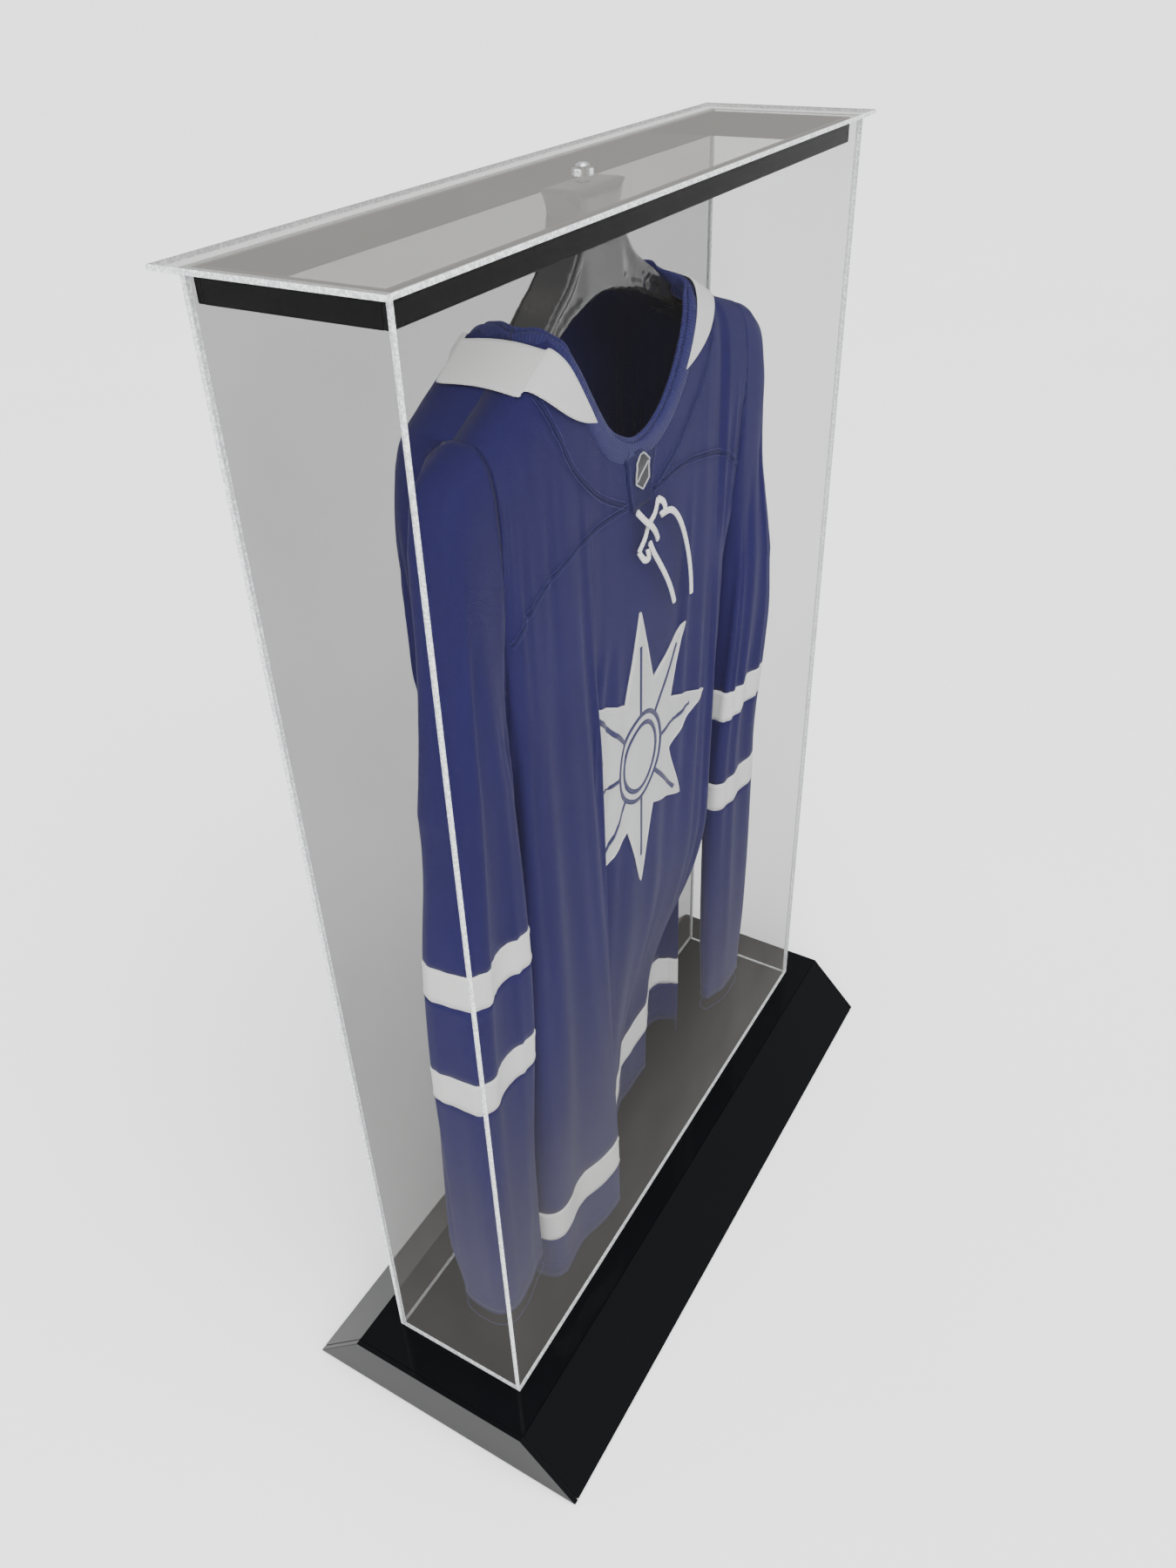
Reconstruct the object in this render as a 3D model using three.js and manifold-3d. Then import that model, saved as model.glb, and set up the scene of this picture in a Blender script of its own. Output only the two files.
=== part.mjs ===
// Free-standing display case for one hockey jersey: a black bevelled acrylic base, a tall clear
// acrylic tower, and a loose clear lid that the jersey's hanger is screwed to.
// Millimetres, +Z up, front of the case towards -Y, origin under the middle of the base.
import * as THREE from "three";
import { mergeVertices } from "three/addons/utils/BufferGeometryUtils.js";
import Module from "manifold-3d";

const wasm = await Module();
wasm.setup();

// ---------------- Driving dimensions ----------------
const jointGap = 0.3; // left between any two pieces that touch or are glued

// Clear tower, outside sizes
const towerWidth = 610;
const towerDepth = 134;
const towerHeight = 944;
const clearSheet = 3;

// Black base
const baseHeight = 57;
const blackSheet = 5;
const endLedge = 37; // base length beyond the tower at each end
const topLedge = 24; // flat strip in front of and behind the tower
const bevelRun = 54; // how far the front and back slope out from top to bottom

// Rubber feet
const footHeight = 3;
const footDiameter = 24;
const footInset = 26; // foot centre to the edge of the bottom panel

// Lid
const lidThickness = 3;
const lidOverhangX = 10;
const lidOverhangY = 8;
const lidShift = -3; // the loose lid lies pushed a little to the left

// Black locating frame glued under the lid
const bandHeight = 18;
const bandThickness = 4;
const bandSlackX = 12; // total play in the tower, left to right
const bandSlackY = 5; // total play in the tower, front to back
const bandShift = -2.4; // the frame sits off the lid's middle by this much

// Screw that carries the hanger
const hangX = -30;
const hangY = -5;
const screwDiameter = 5;
const screwClearance = 0.4; // radial, in the lid, the boss and the insert
const screwHeadDiameter = 9;
const screwHeadHeight = 2.6;
const screwDepth = 16; // length of screw inside the hanger
const bossDiameter = 14;
const bossHeight = 4.5;
const insertDiameter = 9;
const insertLength = 14;

// Moulded hanger
const hangerSpan = 430;
const neckHalfWidth = 26;
const neckHeight = 30;
const neckThickness = 30;
const armEndThickness = 36;
const armClearance = 2; // left between the tips of the arms and the front cloth
const armEndDrop = 132; // shoulder tip below the hanger's top
const armHeight = 24; // height of an arm at its tip
const archDrop = 66; // top of the arch between the arms, below the hanger's top

// Jersey
const knit = 3; // stand-in thickness of a hanging layer of knit
const jerseyX = -31; // middle of the body
const frontRoom = 18; // from the front panel to the cloth
const backRoom = 20; // from the cloth to the back panel
const hemRoom = 31; // from the top of the base up to the hem
const hemStripeRise = 58; // hem to the lower edge of its white stripe
const hemStripeHeight = 38;
const sleeveRoom = 10; // from the left sleeve to the left panel
const sleeveSectionX = 84;
const sleeveSectionY = 62;
const sleeveGap = 4; // between the body's side and the sleeve
const cuffRise = 52; // cuff above the hem
const sleeveDrop = 92; // top of the hanging part of a sleeve below the shoulder
const lowStripeRise = 272; // cuff to the lower white stripe
const highStripeRise = 379; // cuff to the upper white stripe
const stripeHeight = 31;
const neckX = -31;
const neckHalfOpening = 96;
const neckFrontDrop = 92; // front of the collar below the shoulder point
const neckBackDrop = 24;
const collarWidth = 14;
const insertWidth = 20;
const yokeClearance = 2.5; // shoulder cloth above the hanger's arms
const crestWidth = 240;
const crestHeight = 262;
const crestX = -32;
const crestDrop = 353; // middle of the crest below the shoulder
const trimThickness = 1.2;
const laceDiameter = 5;

// ---------------- Worked out from the driving dimensions ----------------
const baseBottom = footHeight + jointGap;
const baseTop = baseBottom + baseHeight;
const baseHalfLength = towerWidth / 2 + endLedge;
const baseHalfTop = towerDepth / 2 + topLedge;
const baseHalfBottom = baseHalfTop + bevelRun;
const towerBottom = baseTop + jointGap;
const towerTop = towerBottom + towerHeight;
const innerHalfWidth = towerWidth / 2 - clearSheet;
const innerHalfDepth = towerDepth / 2 - clearSheet;
// The tips of the arms curve forward until they are just clear of the front cloth.
const armSweep = innerHalfDepth - frontRoom - knit - armClearance + hangY - armEndThickness / 2;
const lidBottom = towerTop + jointGap;
const lidTop = lidBottom + lidThickness;
const hangerTop = lidBottom - jointGap;

// ---------------- Materials ----------------
const finish = (color, roughness, metalness = 0, opacity = 1) =>
  new THREE.MeshStandardMaterial({ color, roughness, metalness, opacity, transparent: opacity < 1 });
const clearAcrylic = finish(0xd9dcdc, 0.05, 0, 0.25);
const blackAcrylic = finish(0x050506, 0.08);
const hangerPlastic = finish(0x1b1b1c, 0.2);
const rubber = finish(0x151515, 0.8);
const steel = finish(0xb9bcc0, 0.25, 1);
const brass = finish(0xb8924a, 0.35, 1);
const blueKnit = finish(0x24286e, 0.85);
const whiteKnit = finish(0xe4e4e2, 0.85);
const labelCloth = finish(0x0c0c10, 0.7);

const group = new THREE.Group();

function add(name, geometry, material) {
  const mesh = new THREE.Mesh(geometry, material);
  mesh.name = name;
  group.add(mesh);
  return mesh;
}

// ---------------- Shape helpers ----------------
function box([x0, x1], [y0, y1], [z0, z1]) {
  const geometry = new THREE.BoxGeometry(x1 - x0, y1 - y0, z1 - z0);
  return geometry.translate((x0 + x1) / 2, (y0 + y1) / 2, (z0 + z1) / 2);
}

const shapeOf = (points) => new THREE.Shape(points.map(([u, v]) => new THREE.Vector2(u, v)));

function prism(shape, depth, curveSegments = 12) {
  return new THREE.ExtrudeGeometry(shape, { depth, bevelEnabled: false, curveSegments });
}

// An outline drawn in X and Z, seen from the front, from depth y0 back to y1.
function frontPrism(shape, [y0, y1]) {
  return prism(shape, y1 - y0).rotateX(Math.PI / 2).translate(0, y1, 0);
}

// An outline drawn in Y and Z, seen from the side, from x0 to x1.
function sidePrism(shape, [x0, x1]) {
  const alongX = new THREE.Matrix4().makeBasis(
    new THREE.Vector3(0, 1, 0),
    new THREE.Vector3(0, 0, 1),
    new THREE.Vector3(1, 0, 0),
  );
  return prism(shape, x1 - x0).applyMatrix4(alongX).translate(x0, 0, 0);
}

// An outline drawn in X and Y, seen from above, from z0 up to z1.
function planPrism(shape, [z0, z1], curveSegments) {
  return prism(shape, z1 - z0, curveSegments).translate(0, 0, z0);
}

function turned(profile, x, y, segments = 32) {
  const points = profile.map(([r, z]) => new THREE.Vector2(r, z));
  return new THREE.LatheGeometry(points, segments).rotateX(Math.PI / 2).translate(x, y, 0);
}

function solid(geometry) {
  const bare = geometry.clone();
  bare.deleteAttribute("normal");
  bare.deleteAttribute("uv");
  const merged = mergeVertices(bare, 1e-4);
  return new wasm.Manifold(
    new wasm.Mesh({
      numProp: 3,
      vertProperties: merged.attributes.position.array,
      triVerts: new Uint32Array(merged.index.array),
    }),
  );
}

function geometryOf(manifold) {
  const mesh = manifold.getMesh();
  const geometry = new THREE.BufferGeometry();
  geometry.setAttribute("position", new THREE.BufferAttribute(mesh.vertProperties, 3));
  geometry.setIndex(new THREE.BufferAttribute(mesh.triVerts, 1));
  return geometry;
}

const common = (...geometries) => geometries.map(solid).reduce((a, b) => a.intersect(b));

// The corners of a convex outline moved inwards by a distance.
function inset(points, distance) {
  return points.map((p, i) => {
    const before = points[(i + points.length - 1) % points.length];
    const after = points[(i + 1) % points.length];
    const into = new THREE.Vector2(p[0] - before[0], p[1] - before[1]).normalize();
    const out = new THREE.Vector2(after[0] - p[0], after[1] - p[1]).normalize();
    const reach = distance / into.cross(out);
    return [p[0] + (out.x - into.x) * reach, p[1] + (out.y - into.y) * reach];
  });
}

// ---------------- Base ----------------
const baseSection = [
  [-baseHalfBottom, baseBottom],
  [baseHalfBottom, baseBottom],
  [baseHalfTop, baseTop],
  [-baseHalfTop, baseTop],
];

// One side of the hollow section, mitred at both corners.
function mitredSide(section, side, thickness) {
  const inner = inset(section, thickness);
  const next = (side + 1) % section.length;
  const along = new THREE.Vector2(
    section[next][0] - section[side][0],
    section[next][1] - section[side][1],
  ).normalize();
  const corner = (i, direction) => {
    const mitre = new THREE.Vector2(inner[i][0] - section[i][0], inner[i][1] - section[i][1]);
    const shift = (direction * jointGap) / 2 / Math.abs(along.cross(mitre.normalize()));
    return [section[i], inner[i]].map(([u, v]) => [u + along.x * shift, v + along.y * shift]);
  };
  const [startOut, startIn] = corner(side, 1);
  const [endOut, endIn] = corner(next, -1);
  return shapeOf([startOut, endOut, endIn, startIn]);
}

const wallHalfLength = baseHalfLength - blackSheet - jointGap;
["base_bottom_panel", "base_back_bevel", "base_top_plate", "base_front_bevel"].forEach((name, side) => {
  const section = mitredSide(baseSection, side, blackSheet);
  add(name, sidePrism(section, [-wallHalfLength, wallHalfLength]), blackAcrylic);
});
const endShape = shapeOf(baseSection);
add("base_left_end", sidePrism(endShape, [-baseHalfLength, blackSheet - baseHalfLength]), blackAcrylic);
add("base_right_end", sidePrism(endShape, [baseHalfLength - blackSheet, baseHalfLength]), blackAcrylic);

const footX = baseHalfLength - footInset;
const footY = baseHalfBottom - footInset;
for (const [end, x] of [["left", -footX], ["right", footX]]) {
  for (const [side, y] of [["front", -footY], ["back", footY]]) {
    const radius = footDiameter / 2;
    const profile = [[0, 0], [radius - 1.5, 0], [radius, footHeight], [0, footHeight]];
    add(`foot_${side}_${end}`, turned(profile, x, y, 24), rubber);
  }
}

// ---------------- Clear tower ----------------
const halfWidth = towerWidth / 2;
const halfDepth = towerDepth / 2;
const towerZ = [towerBottom, towerTop];
add("front_panel", box([-halfWidth, halfWidth], [-halfDepth, -innerHalfDepth], towerZ), clearAcrylic);
add("back_panel", box([-halfWidth, halfWidth], [innerHalfDepth, halfDepth], towerZ), clearAcrylic);
const sidePanelY = [jointGap - innerHalfDepth, innerHalfDepth - jointGap];
add("left_panel", box([-halfWidth, -innerHalfWidth], sidePanelY, towerZ), clearAcrylic);
add("right_panel", box([innerHalfWidth, halfWidth], sidePanelY, towerZ), clearAcrylic);

// ---------------- Lid ----------------
const screwHole = turned(
  [
    [0, hangerTop - 2 * screwDepth],
    [screwDiameter / 2 + screwClearance, hangerTop - 2 * screwDepth],
    [screwDiameter / 2 + screwClearance, lidTop + 2 * bossHeight],
    [0, lidTop + 2 * bossHeight],
  ],
  hangX,
  hangY,
);
const lidHalfWidth = halfWidth + lidOverhangX;
const lidHalfDepth = halfDepth + lidOverhangY;
const lidBlank = box(
  [lidShift - lidHalfWidth, lidShift + lidHalfWidth],
  [-lidHalfDepth, lidHalfDepth],
  [lidBottom, lidTop],
);
add("lid_plate", geometryOf(solid(lidBlank).subtract(solid(screwHole))), clearAcrylic);

const bandX = lidShift + bandShift;
const bandHalfWidth = innerHalfWidth - bandSlackX / 2;
const bandHalfDepth = innerHalfDepth - bandSlackY / 2;
const bandZ = [lidBottom - jointGap - bandHeight, lidBottom - jointGap];
const bandLong = [bandX - bandHalfWidth, bandX + bandHalfWidth];
const bandEndY = bandHalfDepth - bandThickness - jointGap;
add("band_front", box(bandLong, [-bandHalfDepth, bandThickness - bandHalfDepth], bandZ), blackAcrylic);
add("band_back", box(bandLong, [bandHalfDepth - bandThickness, bandHalfDepth], bandZ), blackAcrylic);
add(
  "band_left",
  box([bandLong[0], bandLong[0] + bandThickness], [-bandEndY, bandEndY], bandZ),
  blackAcrylic,
);
add(
  "band_right",
  box([bandLong[1] - bandThickness, bandLong[1]], [-bandEndY, bandEndY], bandZ),
  blackAcrylic,
);

// ---------------- Boss, screw and insert ----------------
const bossBottom = lidTop + jointGap;
const bossTop = bossBottom + bossHeight;
const bossRadius = bossDiameter / 2;
const bossBlank = turned(
  [[0, bossBottom], [bossRadius, bossBottom], [bossRadius, bossTop - 0.6], [bossRadius - 0.6, bossTop], [0, bossTop]],
  hangX,
  hangY,
);
add("hanger_boss", geometryOf(solid(bossBlank).subtract(solid(screwHole))), clearAcrylic);

const headBottom = bossTop + jointGap;
const headRadius = screwHeadDiameter / 2;
const shankRadius = screwDiameter / 2;
const screw = turned(
  [
    [0, hangerTop - screwDepth],
    [shankRadius - 0.8, hangerTop - screwDepth],
    [shankRadius, hangerTop - screwDepth + 0.8],
    [shankRadius, headBottom],
    [headRadius, headBottom],
    [headRadius, headBottom + screwHeadHeight / 2],
    [headRadius * 0.6, headBottom + screwHeadHeight],
    [0, headBottom + screwHeadHeight],
  ],
  hangX,
  hangY,
);
add("hanger_screw", screw, steel);

const insertTop = hangerTop - 1;
const insertRadius = insertDiameter / 2;
const insertProfile = (radius, low, high) => [[0, low], [radius, low], [radius, high], [0, high]];
const insertBlank = turned(insertProfile(insertRadius, insertTop - insertLength, insertTop), hangX, hangY);
add("threaded_insert", geometryOf(solid(insertBlank).subtract(solid(screwHole))), brass);

// ---------------- Hanger ----------------
const armTip = hangerSpan / 2;
// Upper edge from the neck to the shoulder tip: [distance from the middle, drop below the top].
const armTop = [
  [neckHalfWidth + 3, neckHeight],
  [neckHalfWidth + 18, neckHeight + 19],
  [neckHalfWidth + 38, neckHeight + 32],
  [neckHalfWidth + 60, neckHeight + 46],
  [armTip * 0.66, armEndDrop - 28],
  [armTip * 0.88, armEndDrop - 12],
  [armTip, armEndDrop],
];
const armUnder = [
  [armTip - 3, armEndDrop + armHeight * 0.6],
  [armTip - 16, armEndDrop + armHeight * 0.75],
  [armTip * 0.66, armEndDrop + armHeight - 36],
  [armTip * 0.4, archDrop + 26],
  [armTip * 0.2, archDrop + 8],
];
const hangerHalf = [[neckHalfWidth + 6, 0], [neckHalfWidth - 2, neckHeight * 0.4], ...armTop, ...armUnder];
const hangerOutline = [
  ...hangerHalf.map(([d, drop]) => [hangX + d, hangerTop - drop]),
  [hangX, hangerTop - archDrop],
  ...hangerHalf.map(([d, drop]) => [hangX - d, hangerTop - drop]).reverse(),
];
const through = [-halfDepth, halfDepth];
const halfNeck = neckThickness / 2;
const halfTip = armEndThickness / 2;
// The hanger from above: thicker towards the tips, with both arms swept forward.
const planSteps = Array.from({ length: 13 }, (_, i) => (i - 6) / 6);
const planEdge = (side) =>
  planSteps.map((share) => {
    const half = halfNeck + (halfTip - halfNeck) * Math.abs(share);
    return [hangX + share * (armTip + 1), hangY - armSweep * share * share + side * half];
  });
const hangerPlan = shapeOf([...planEdge(-1), ...planEdge(1).reverse()]);
const insertPocket = turned(
  insertProfile(insertRadius + jointGap, insertTop - insertLength - jointGap, hangerTop + 1),
  hangX,
  hangY,
);
const hangerBlank = common(
  frontPrism(shapeOf(hangerOutline), through),
  planPrism(hangerPlan, [hangerTop - armEndDrop - armHeight - 1, hangerTop + 1]),
);
const hangerDrilled = hangerBlank.subtract(solid(insertPocket)).subtract(solid(screwHole));
add("hanger", geometryOf(hangerDrilled), hangerPlastic);

// ---------------- Jersey: front and back ----------------
const shoulderZ = hangerTop - armTop[3][1] + yokeClearance + knit; // where collar meets shoulder
const bodyFrontY = frontRoom - innerHalfDepth;
const bodyBackY = innerHalfDepth - backRoom;
const hemZ = baseTop + hemRoom;
const hemStripeLow = hemZ + hemStripeRise;
const sideSlack = 4;
const sweepShare = 0.5; // of the arms' sweep, that the cloth follows

// A layer of cloth seen from the side, out from the hem to the shoulder, at a distance from the body.
function layer(faceY, away, thickness) {
  const out = Math.sign(faceY);
  const shoulderY = hangY + out * (halfTip + sideSlack) - armSweep * sweepShare;
  const path = [
    [faceY, hemZ - 1],
    [faceY, shoulderZ - 130],
    [faceY - out * 2, shoulderZ - 60],
    [(faceY + shoulderY) / 2 - out, shoulderZ - 22],
    [shoulderY - out * 2, shoulderZ + 12],
  ];
  const inside = path.map(([y, z]) => [y + out * away, z]);
  const outside = path.map(([y, z]) => [y + out * (away + thickness), z]);
  return sidePrism(shapeOf([...inside, ...outside.reverse()]), [-halfWidth, halfWidth]);
}

const bodyHalf = innerHalfWidth + jerseyX - sleeveRoom - sleeveSectionX - sleeveGap;
const slopeEnd = shoulderZ - 46;
const [leftSide, rightSide] = [jerseyX - bodyHalf, jerseyX + bodyHalf];
const [leftNeck, rightNeck] = [neckX - neckHalfOpening, neckX + neckHalfOpening];
const bodyOutline = shapeOf([
  [leftSide, hemZ],
  [rightSide, hemZ],
  [rightSide, slopeEnd],
  [0.74 * rightNeck + 0.26 * rightSide, shoulderZ - 12],
  [rightNeck, shoulderZ],
  [leftNeck, shoulderZ],
  [0.74 * leftNeck + 0.26 * leftSide, shoulderZ - 12],
  [leftSide, slopeEnd],
]);

// The neckline, a U between the shoulder points, grown outwards by a margin.
function neckline(drop, margin) {
  const half = neckHalfOpening - collarWidth + margin;
  const bottom = shoulderZ - drop + collarWidth - margin;
  const shape = new THREE.Shape();
  shape.moveTo(neckX - half, shoulderZ + 30);
  shape.bezierCurveTo(neckX - half * 0.9, bottom + 20, neckX - half * 0.5, bottom, neckX, bottom);
  shape.bezierCurveTo(neckX + half * 0.5, bottom, neckX + half * 0.9, bottom + 20, neckX + half, shoulderZ + 30);
  return shape;
}

const slab = (z0, z1) => box([-halfWidth, halfWidth], through, [z0, z1]);

const bodyFaces = [["front", bodyFrontY, neckFrontDrop], ["back", bodyBackY, neckBackDrop]];
const stripeTop = hemStripeLow + hemStripeHeight;
for (const [side, faceY, neckDrop] of bodyFaces) {
  const cloth = common(layer(faceY, 0, knit), frontPrism(bodyOutline, through));
  const cut = cloth.subtract(solid(frontPrism(neckline(neckDrop, jointGap), through)));
  const bands = [
    [`jersey_${side}_hem`, hemZ - 1, hemStripeLow - jointGap, blueKnit],
    [`jersey_${side}_hem_stripe`, hemStripeLow, stripeTop, whiteKnit],
    [`jersey_${side}`, stripeTop + jointGap, hangerTop, blueKnit],
  ];
  for (const [name, z0, z1, material] of bands) {
    add(name, geometryOf(cut.intersect(solid(slab(z0, z1)))), material);
  }
  const collarBand = cloth
    .intersect(solid(frontPrism(neckline(neckDrop, 0), through)))
    .subtract(solid(frontPrism(neckline(neckDrop, -collarWidth), through)));
  add(`collar_${side}`, geometryOf(collarBand), blueKnit);
}

// ---------------- Jersey: shoulders ----------------
// Cloth lying along the top of each arm of the hanger, white next to the collar.
const shoulderSpan = [hangY - armSweep * sweepShare - halfTip + 1, hangY + halfTip - 2];
const yokeSplit = armTop[3][0] + insertWidth;
for (const [end, sign] of [["left", -1], ["right", 1]]) {
  const lower = armTop.slice(3).map(([d, drop]) => [d, hangerTop - drop + yokeClearance]);
  const upper = lower.map(([d, z]) => [d, z + knit]).reverse();
  const band = shapeOf([...lower, ...upper].map(([d, z]) => [hangX + sign * d, z]));
  const cloth = solid(frontPrism(band, shoulderSpan));
  const split = hangX + sign * yokeSplit;
  const inner = [Math.min(hangX, split), Math.max(hangX, split)];
  const outerEdge = sign * halfWidth;
  const outerStart = split + sign * jointGap;
  const outer = [Math.min(outerStart, outerEdge), Math.max(outerStart, outerEdge)];
  const tall = [hangerTop - armEndDrop - 5, hangerTop];
  add(`neck_insert_${end}`, geometryOf(cloth.intersect(solid(box(inner, through, tall)))), whiteKnit);
  add(`shoulder_${end}`, geometryOf(cloth.intersect(solid(box(outer, through, tall)))), blueKnit);
}

// ---------------- Jersey: sleeves ----------------
const cuffZ = hemZ + cuffRise;
const lowStripeZ = cuffZ + lowStripeRise;
const highStripeZ = cuffZ + highStripeRise;
const sleeveTopZ = shoulderZ - sleeveDrop;
const sleeveY = frontRoom / 3 + sleeveSectionY / 2 - innerHalfDepth;
const sleeveBands = [
  ["", highStripeZ + stripeHeight + jointGap, sleeveTopZ, blueKnit],
  ["_high_stripe", highStripeZ, highStripeZ + stripeHeight, whiteKnit],
  ["_middle", lowStripeZ + stripeHeight + jointGap, highStripeZ - jointGap, blueKnit],
  ["_low_stripe", lowStripeZ, lowStripeZ + stripeHeight, whiteKnit],
  ["_cuff", cuffZ, lowStripeZ - jointGap, blueKnit],
];
for (const [end, sign] of [["left", -1], ["right", 1]]) {
  const x = jerseyX + sign * (bodyHalf + sleeveGap + sleeveSectionX / 2);
  const section = new THREE.Shape();
  section.absellipse(x, sleeveY, sleeveSectionX / 2, sleeveSectionY / 2, 0, 2 * Math.PI);
  for (const [band, z0, z1, material] of sleeveBands) {
    add(`sleeve_${end}${band}`, planPrism(section, [z0, z1], 10), material);
  }
}

// ---------------- Jersey: crest, patch, placket, label, tag ----------------
const crestHalf = crestWidth / 2;
const crestZ = shoulderZ - crestDrop;
const crestShape = new THREE.Shape().absellipse(
  crestX,
  crestZ,
  crestHalf,
  crestHeight / 2,
  0,
  2 * Math.PI,
);
const firstTrim = layer(bodyFrontY, knit + jointGap, trimThickness);
const secondTrim = layer(bodyFrontY, knit + 2 * jointGap + trimThickness, trimThickness);
add("crest", geometryOf(common(firstTrim, frontPrism(crestShape, through))), whiteKnit);

const placketTop = shoulderZ - neckFrontDrop - 2;
const placketHeight = 44;
const placketShape = shapeOf([
  [neckX - 24, placketTop],
  [neckX - 13, placketTop - placketHeight],
  [neckX + 13, placketTop - placketHeight],
  [neckX + 24, placketTop],
]);
add("neck_placket", geometryOf(common(firstTrim, frontPrism(placketShape, through))), blueKnit);
const patchShape = shapeOf([
  [neckX - 9, placketTop - 4],
  [neckX - 9, placketTop - 22],
  [neckX, placketTop - 30],
  [neckX + 9, placketTop - 22],
  [neckX + 9, placketTop - 4],
]);
add("neck_patch", geometryOf(common(secondTrim, frontPrism(patchShape, through))), labelCloth);

const labelSize = [44, 22];
const labelTopZ = shoulderZ - neckBackDrop - 8;
const labelShape = shapeOf([
  [neckX - labelSize[0] / 2, labelTopZ - labelSize[1]],
  [neckX + labelSize[0] / 2, labelTopZ - labelSize[1]],
  [neckX + labelSize[0] / 2, labelTopZ],
  [neckX - labelSize[0] / 2, labelTopZ],
]);
const labelLayer = layer(bodyBackY, -jointGap - 2 * trimThickness, trimThickness);
add("size_label", geometryOf(common(labelLayer, frontPrism(labelShape, through))), labelCloth);

const tagSize = [32, 26]; // paper tag hanging from the right cuff
const tagX = jerseyX + bodyHalf + sleeveGap + sleeveSectionX / 2 - tagSize[0] / 2;
const tagTop = cuffZ - jointGap;
add(
  "cuff_tag",
  box([tagX, tagX + tagSize[0]], [sleeveY, sleeveY + trimThickness], [tagTop - tagSize[1], tagTop]),
  whiteKnit,
);

// ---------------- Lace ----------------
const laceRadius = laceDiameter / 2;
const laceY = bodyFrontY - knit - trimThickness - 2 * jointGap - laceRadius;
const crossWidth = 26;
const crossTop = placketTop - placketHeight - 4;
const crossHeight = 18;
const crossZ = [crossTop - crossHeight, crossTop];
add(
  "lace_cross",
  box(
    [neckX - crossWidth / 2, neckX + crossWidth / 2],
    [laceY - laceRadius, laceY + laceRadius],
    crossZ,
  ),
  whiteKnit,
);

// Each loose end, from where it leaves the crossing down to its tip: [to the right, down].
const laceTails = {
  lace_tail_left: [
    [0, 4],
    [6, 14],
    [15, 26],
    [25, 40],
    [34, 55],
    [40, 69],
  ],
  lace_tail_right: [
    [18, -11],
    [33, -9],
    [45, 1],
    [55, 17],
    [63, 37],
    [68, 57],
    [70, 75],
  ],
};
const roundSection = shapeOf(
  Array.from({ length: 8 }, (_, i) => {
    const angle = (2 * Math.PI * i) / 8;
    return [laceRadius * Math.cos(angle), laceRadius * Math.sin(angle)];
  }),
);
for (const [name, points] of Object.entries(laceTails)) {
  const along = points.map(([x, drop]) => new THREE.Vector3(neckX + x, laceY, crossZ[0] - drop));
  const path = new THREE.CatmullRomCurve3(along);
  const steps = 3 * (points.length - 1);
  const tail = new THREE.ExtrudeGeometry(roundSection, { steps, bevelEnabled: false, extrudePath: path });
  add(name, tail, whiteKnit);
}

export default group;
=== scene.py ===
# %% [markdown]
# # A display case for one hockey jersey
# The real object is a black bevelled acrylic base, a tall clear acrylic tower and a loose lid. The
# jersey's hanger is screwed to the lid, so the lid, the hanger and the jersey lift out together.
# The solid model gives every rigid part its size and place. What is made here is what a solid
# modeller does badly: cloth that hangs and folds, a moulded hanger, laces, stitches, and the
# finishes of acrylic, steel, rubber and knit.

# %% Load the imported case
import math

import bmesh
import bpy
import numpy as np
from mathutils import Matrix, Vector
from mathutils.bvhtree import BVHTree


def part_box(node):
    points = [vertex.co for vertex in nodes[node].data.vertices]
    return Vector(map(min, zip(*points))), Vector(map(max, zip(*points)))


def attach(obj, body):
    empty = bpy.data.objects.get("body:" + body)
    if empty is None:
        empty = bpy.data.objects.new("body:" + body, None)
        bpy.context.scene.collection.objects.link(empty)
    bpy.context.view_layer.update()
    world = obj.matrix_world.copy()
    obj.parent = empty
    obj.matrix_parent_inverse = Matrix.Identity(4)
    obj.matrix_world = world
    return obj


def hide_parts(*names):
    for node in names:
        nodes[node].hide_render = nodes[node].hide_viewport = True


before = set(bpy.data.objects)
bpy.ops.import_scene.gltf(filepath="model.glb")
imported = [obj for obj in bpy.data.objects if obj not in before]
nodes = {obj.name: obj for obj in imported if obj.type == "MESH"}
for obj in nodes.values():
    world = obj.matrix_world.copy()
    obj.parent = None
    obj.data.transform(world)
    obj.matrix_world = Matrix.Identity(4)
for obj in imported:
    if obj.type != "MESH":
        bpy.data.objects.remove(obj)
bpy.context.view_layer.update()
MM = 0.001

# %% [markdown]
# ## Camera, floor and light
# The case is looked down on from near its front left corner, so the tower narrows towards the
# floor. A camera is one matrix: where it stands, and three directions. They are built from yaw,
# pitch and roll here, because those are the angles that a person would change.
# The light is plain: a broad soft sky overhead, which lights the floor evenly however far it
# reaches, a weaker box from the left, and a pale world.

# %% Camera
CAMERA_PLACE = Vector((-0.755, -0.438, 1.1423))
CAMERA_YAW = math.radians(58.45)
CAMERA_PITCH = math.radians(35.53)
CAMERA_ROLL = math.radians(-2.04)
LENS_MM = 28.02


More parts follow.
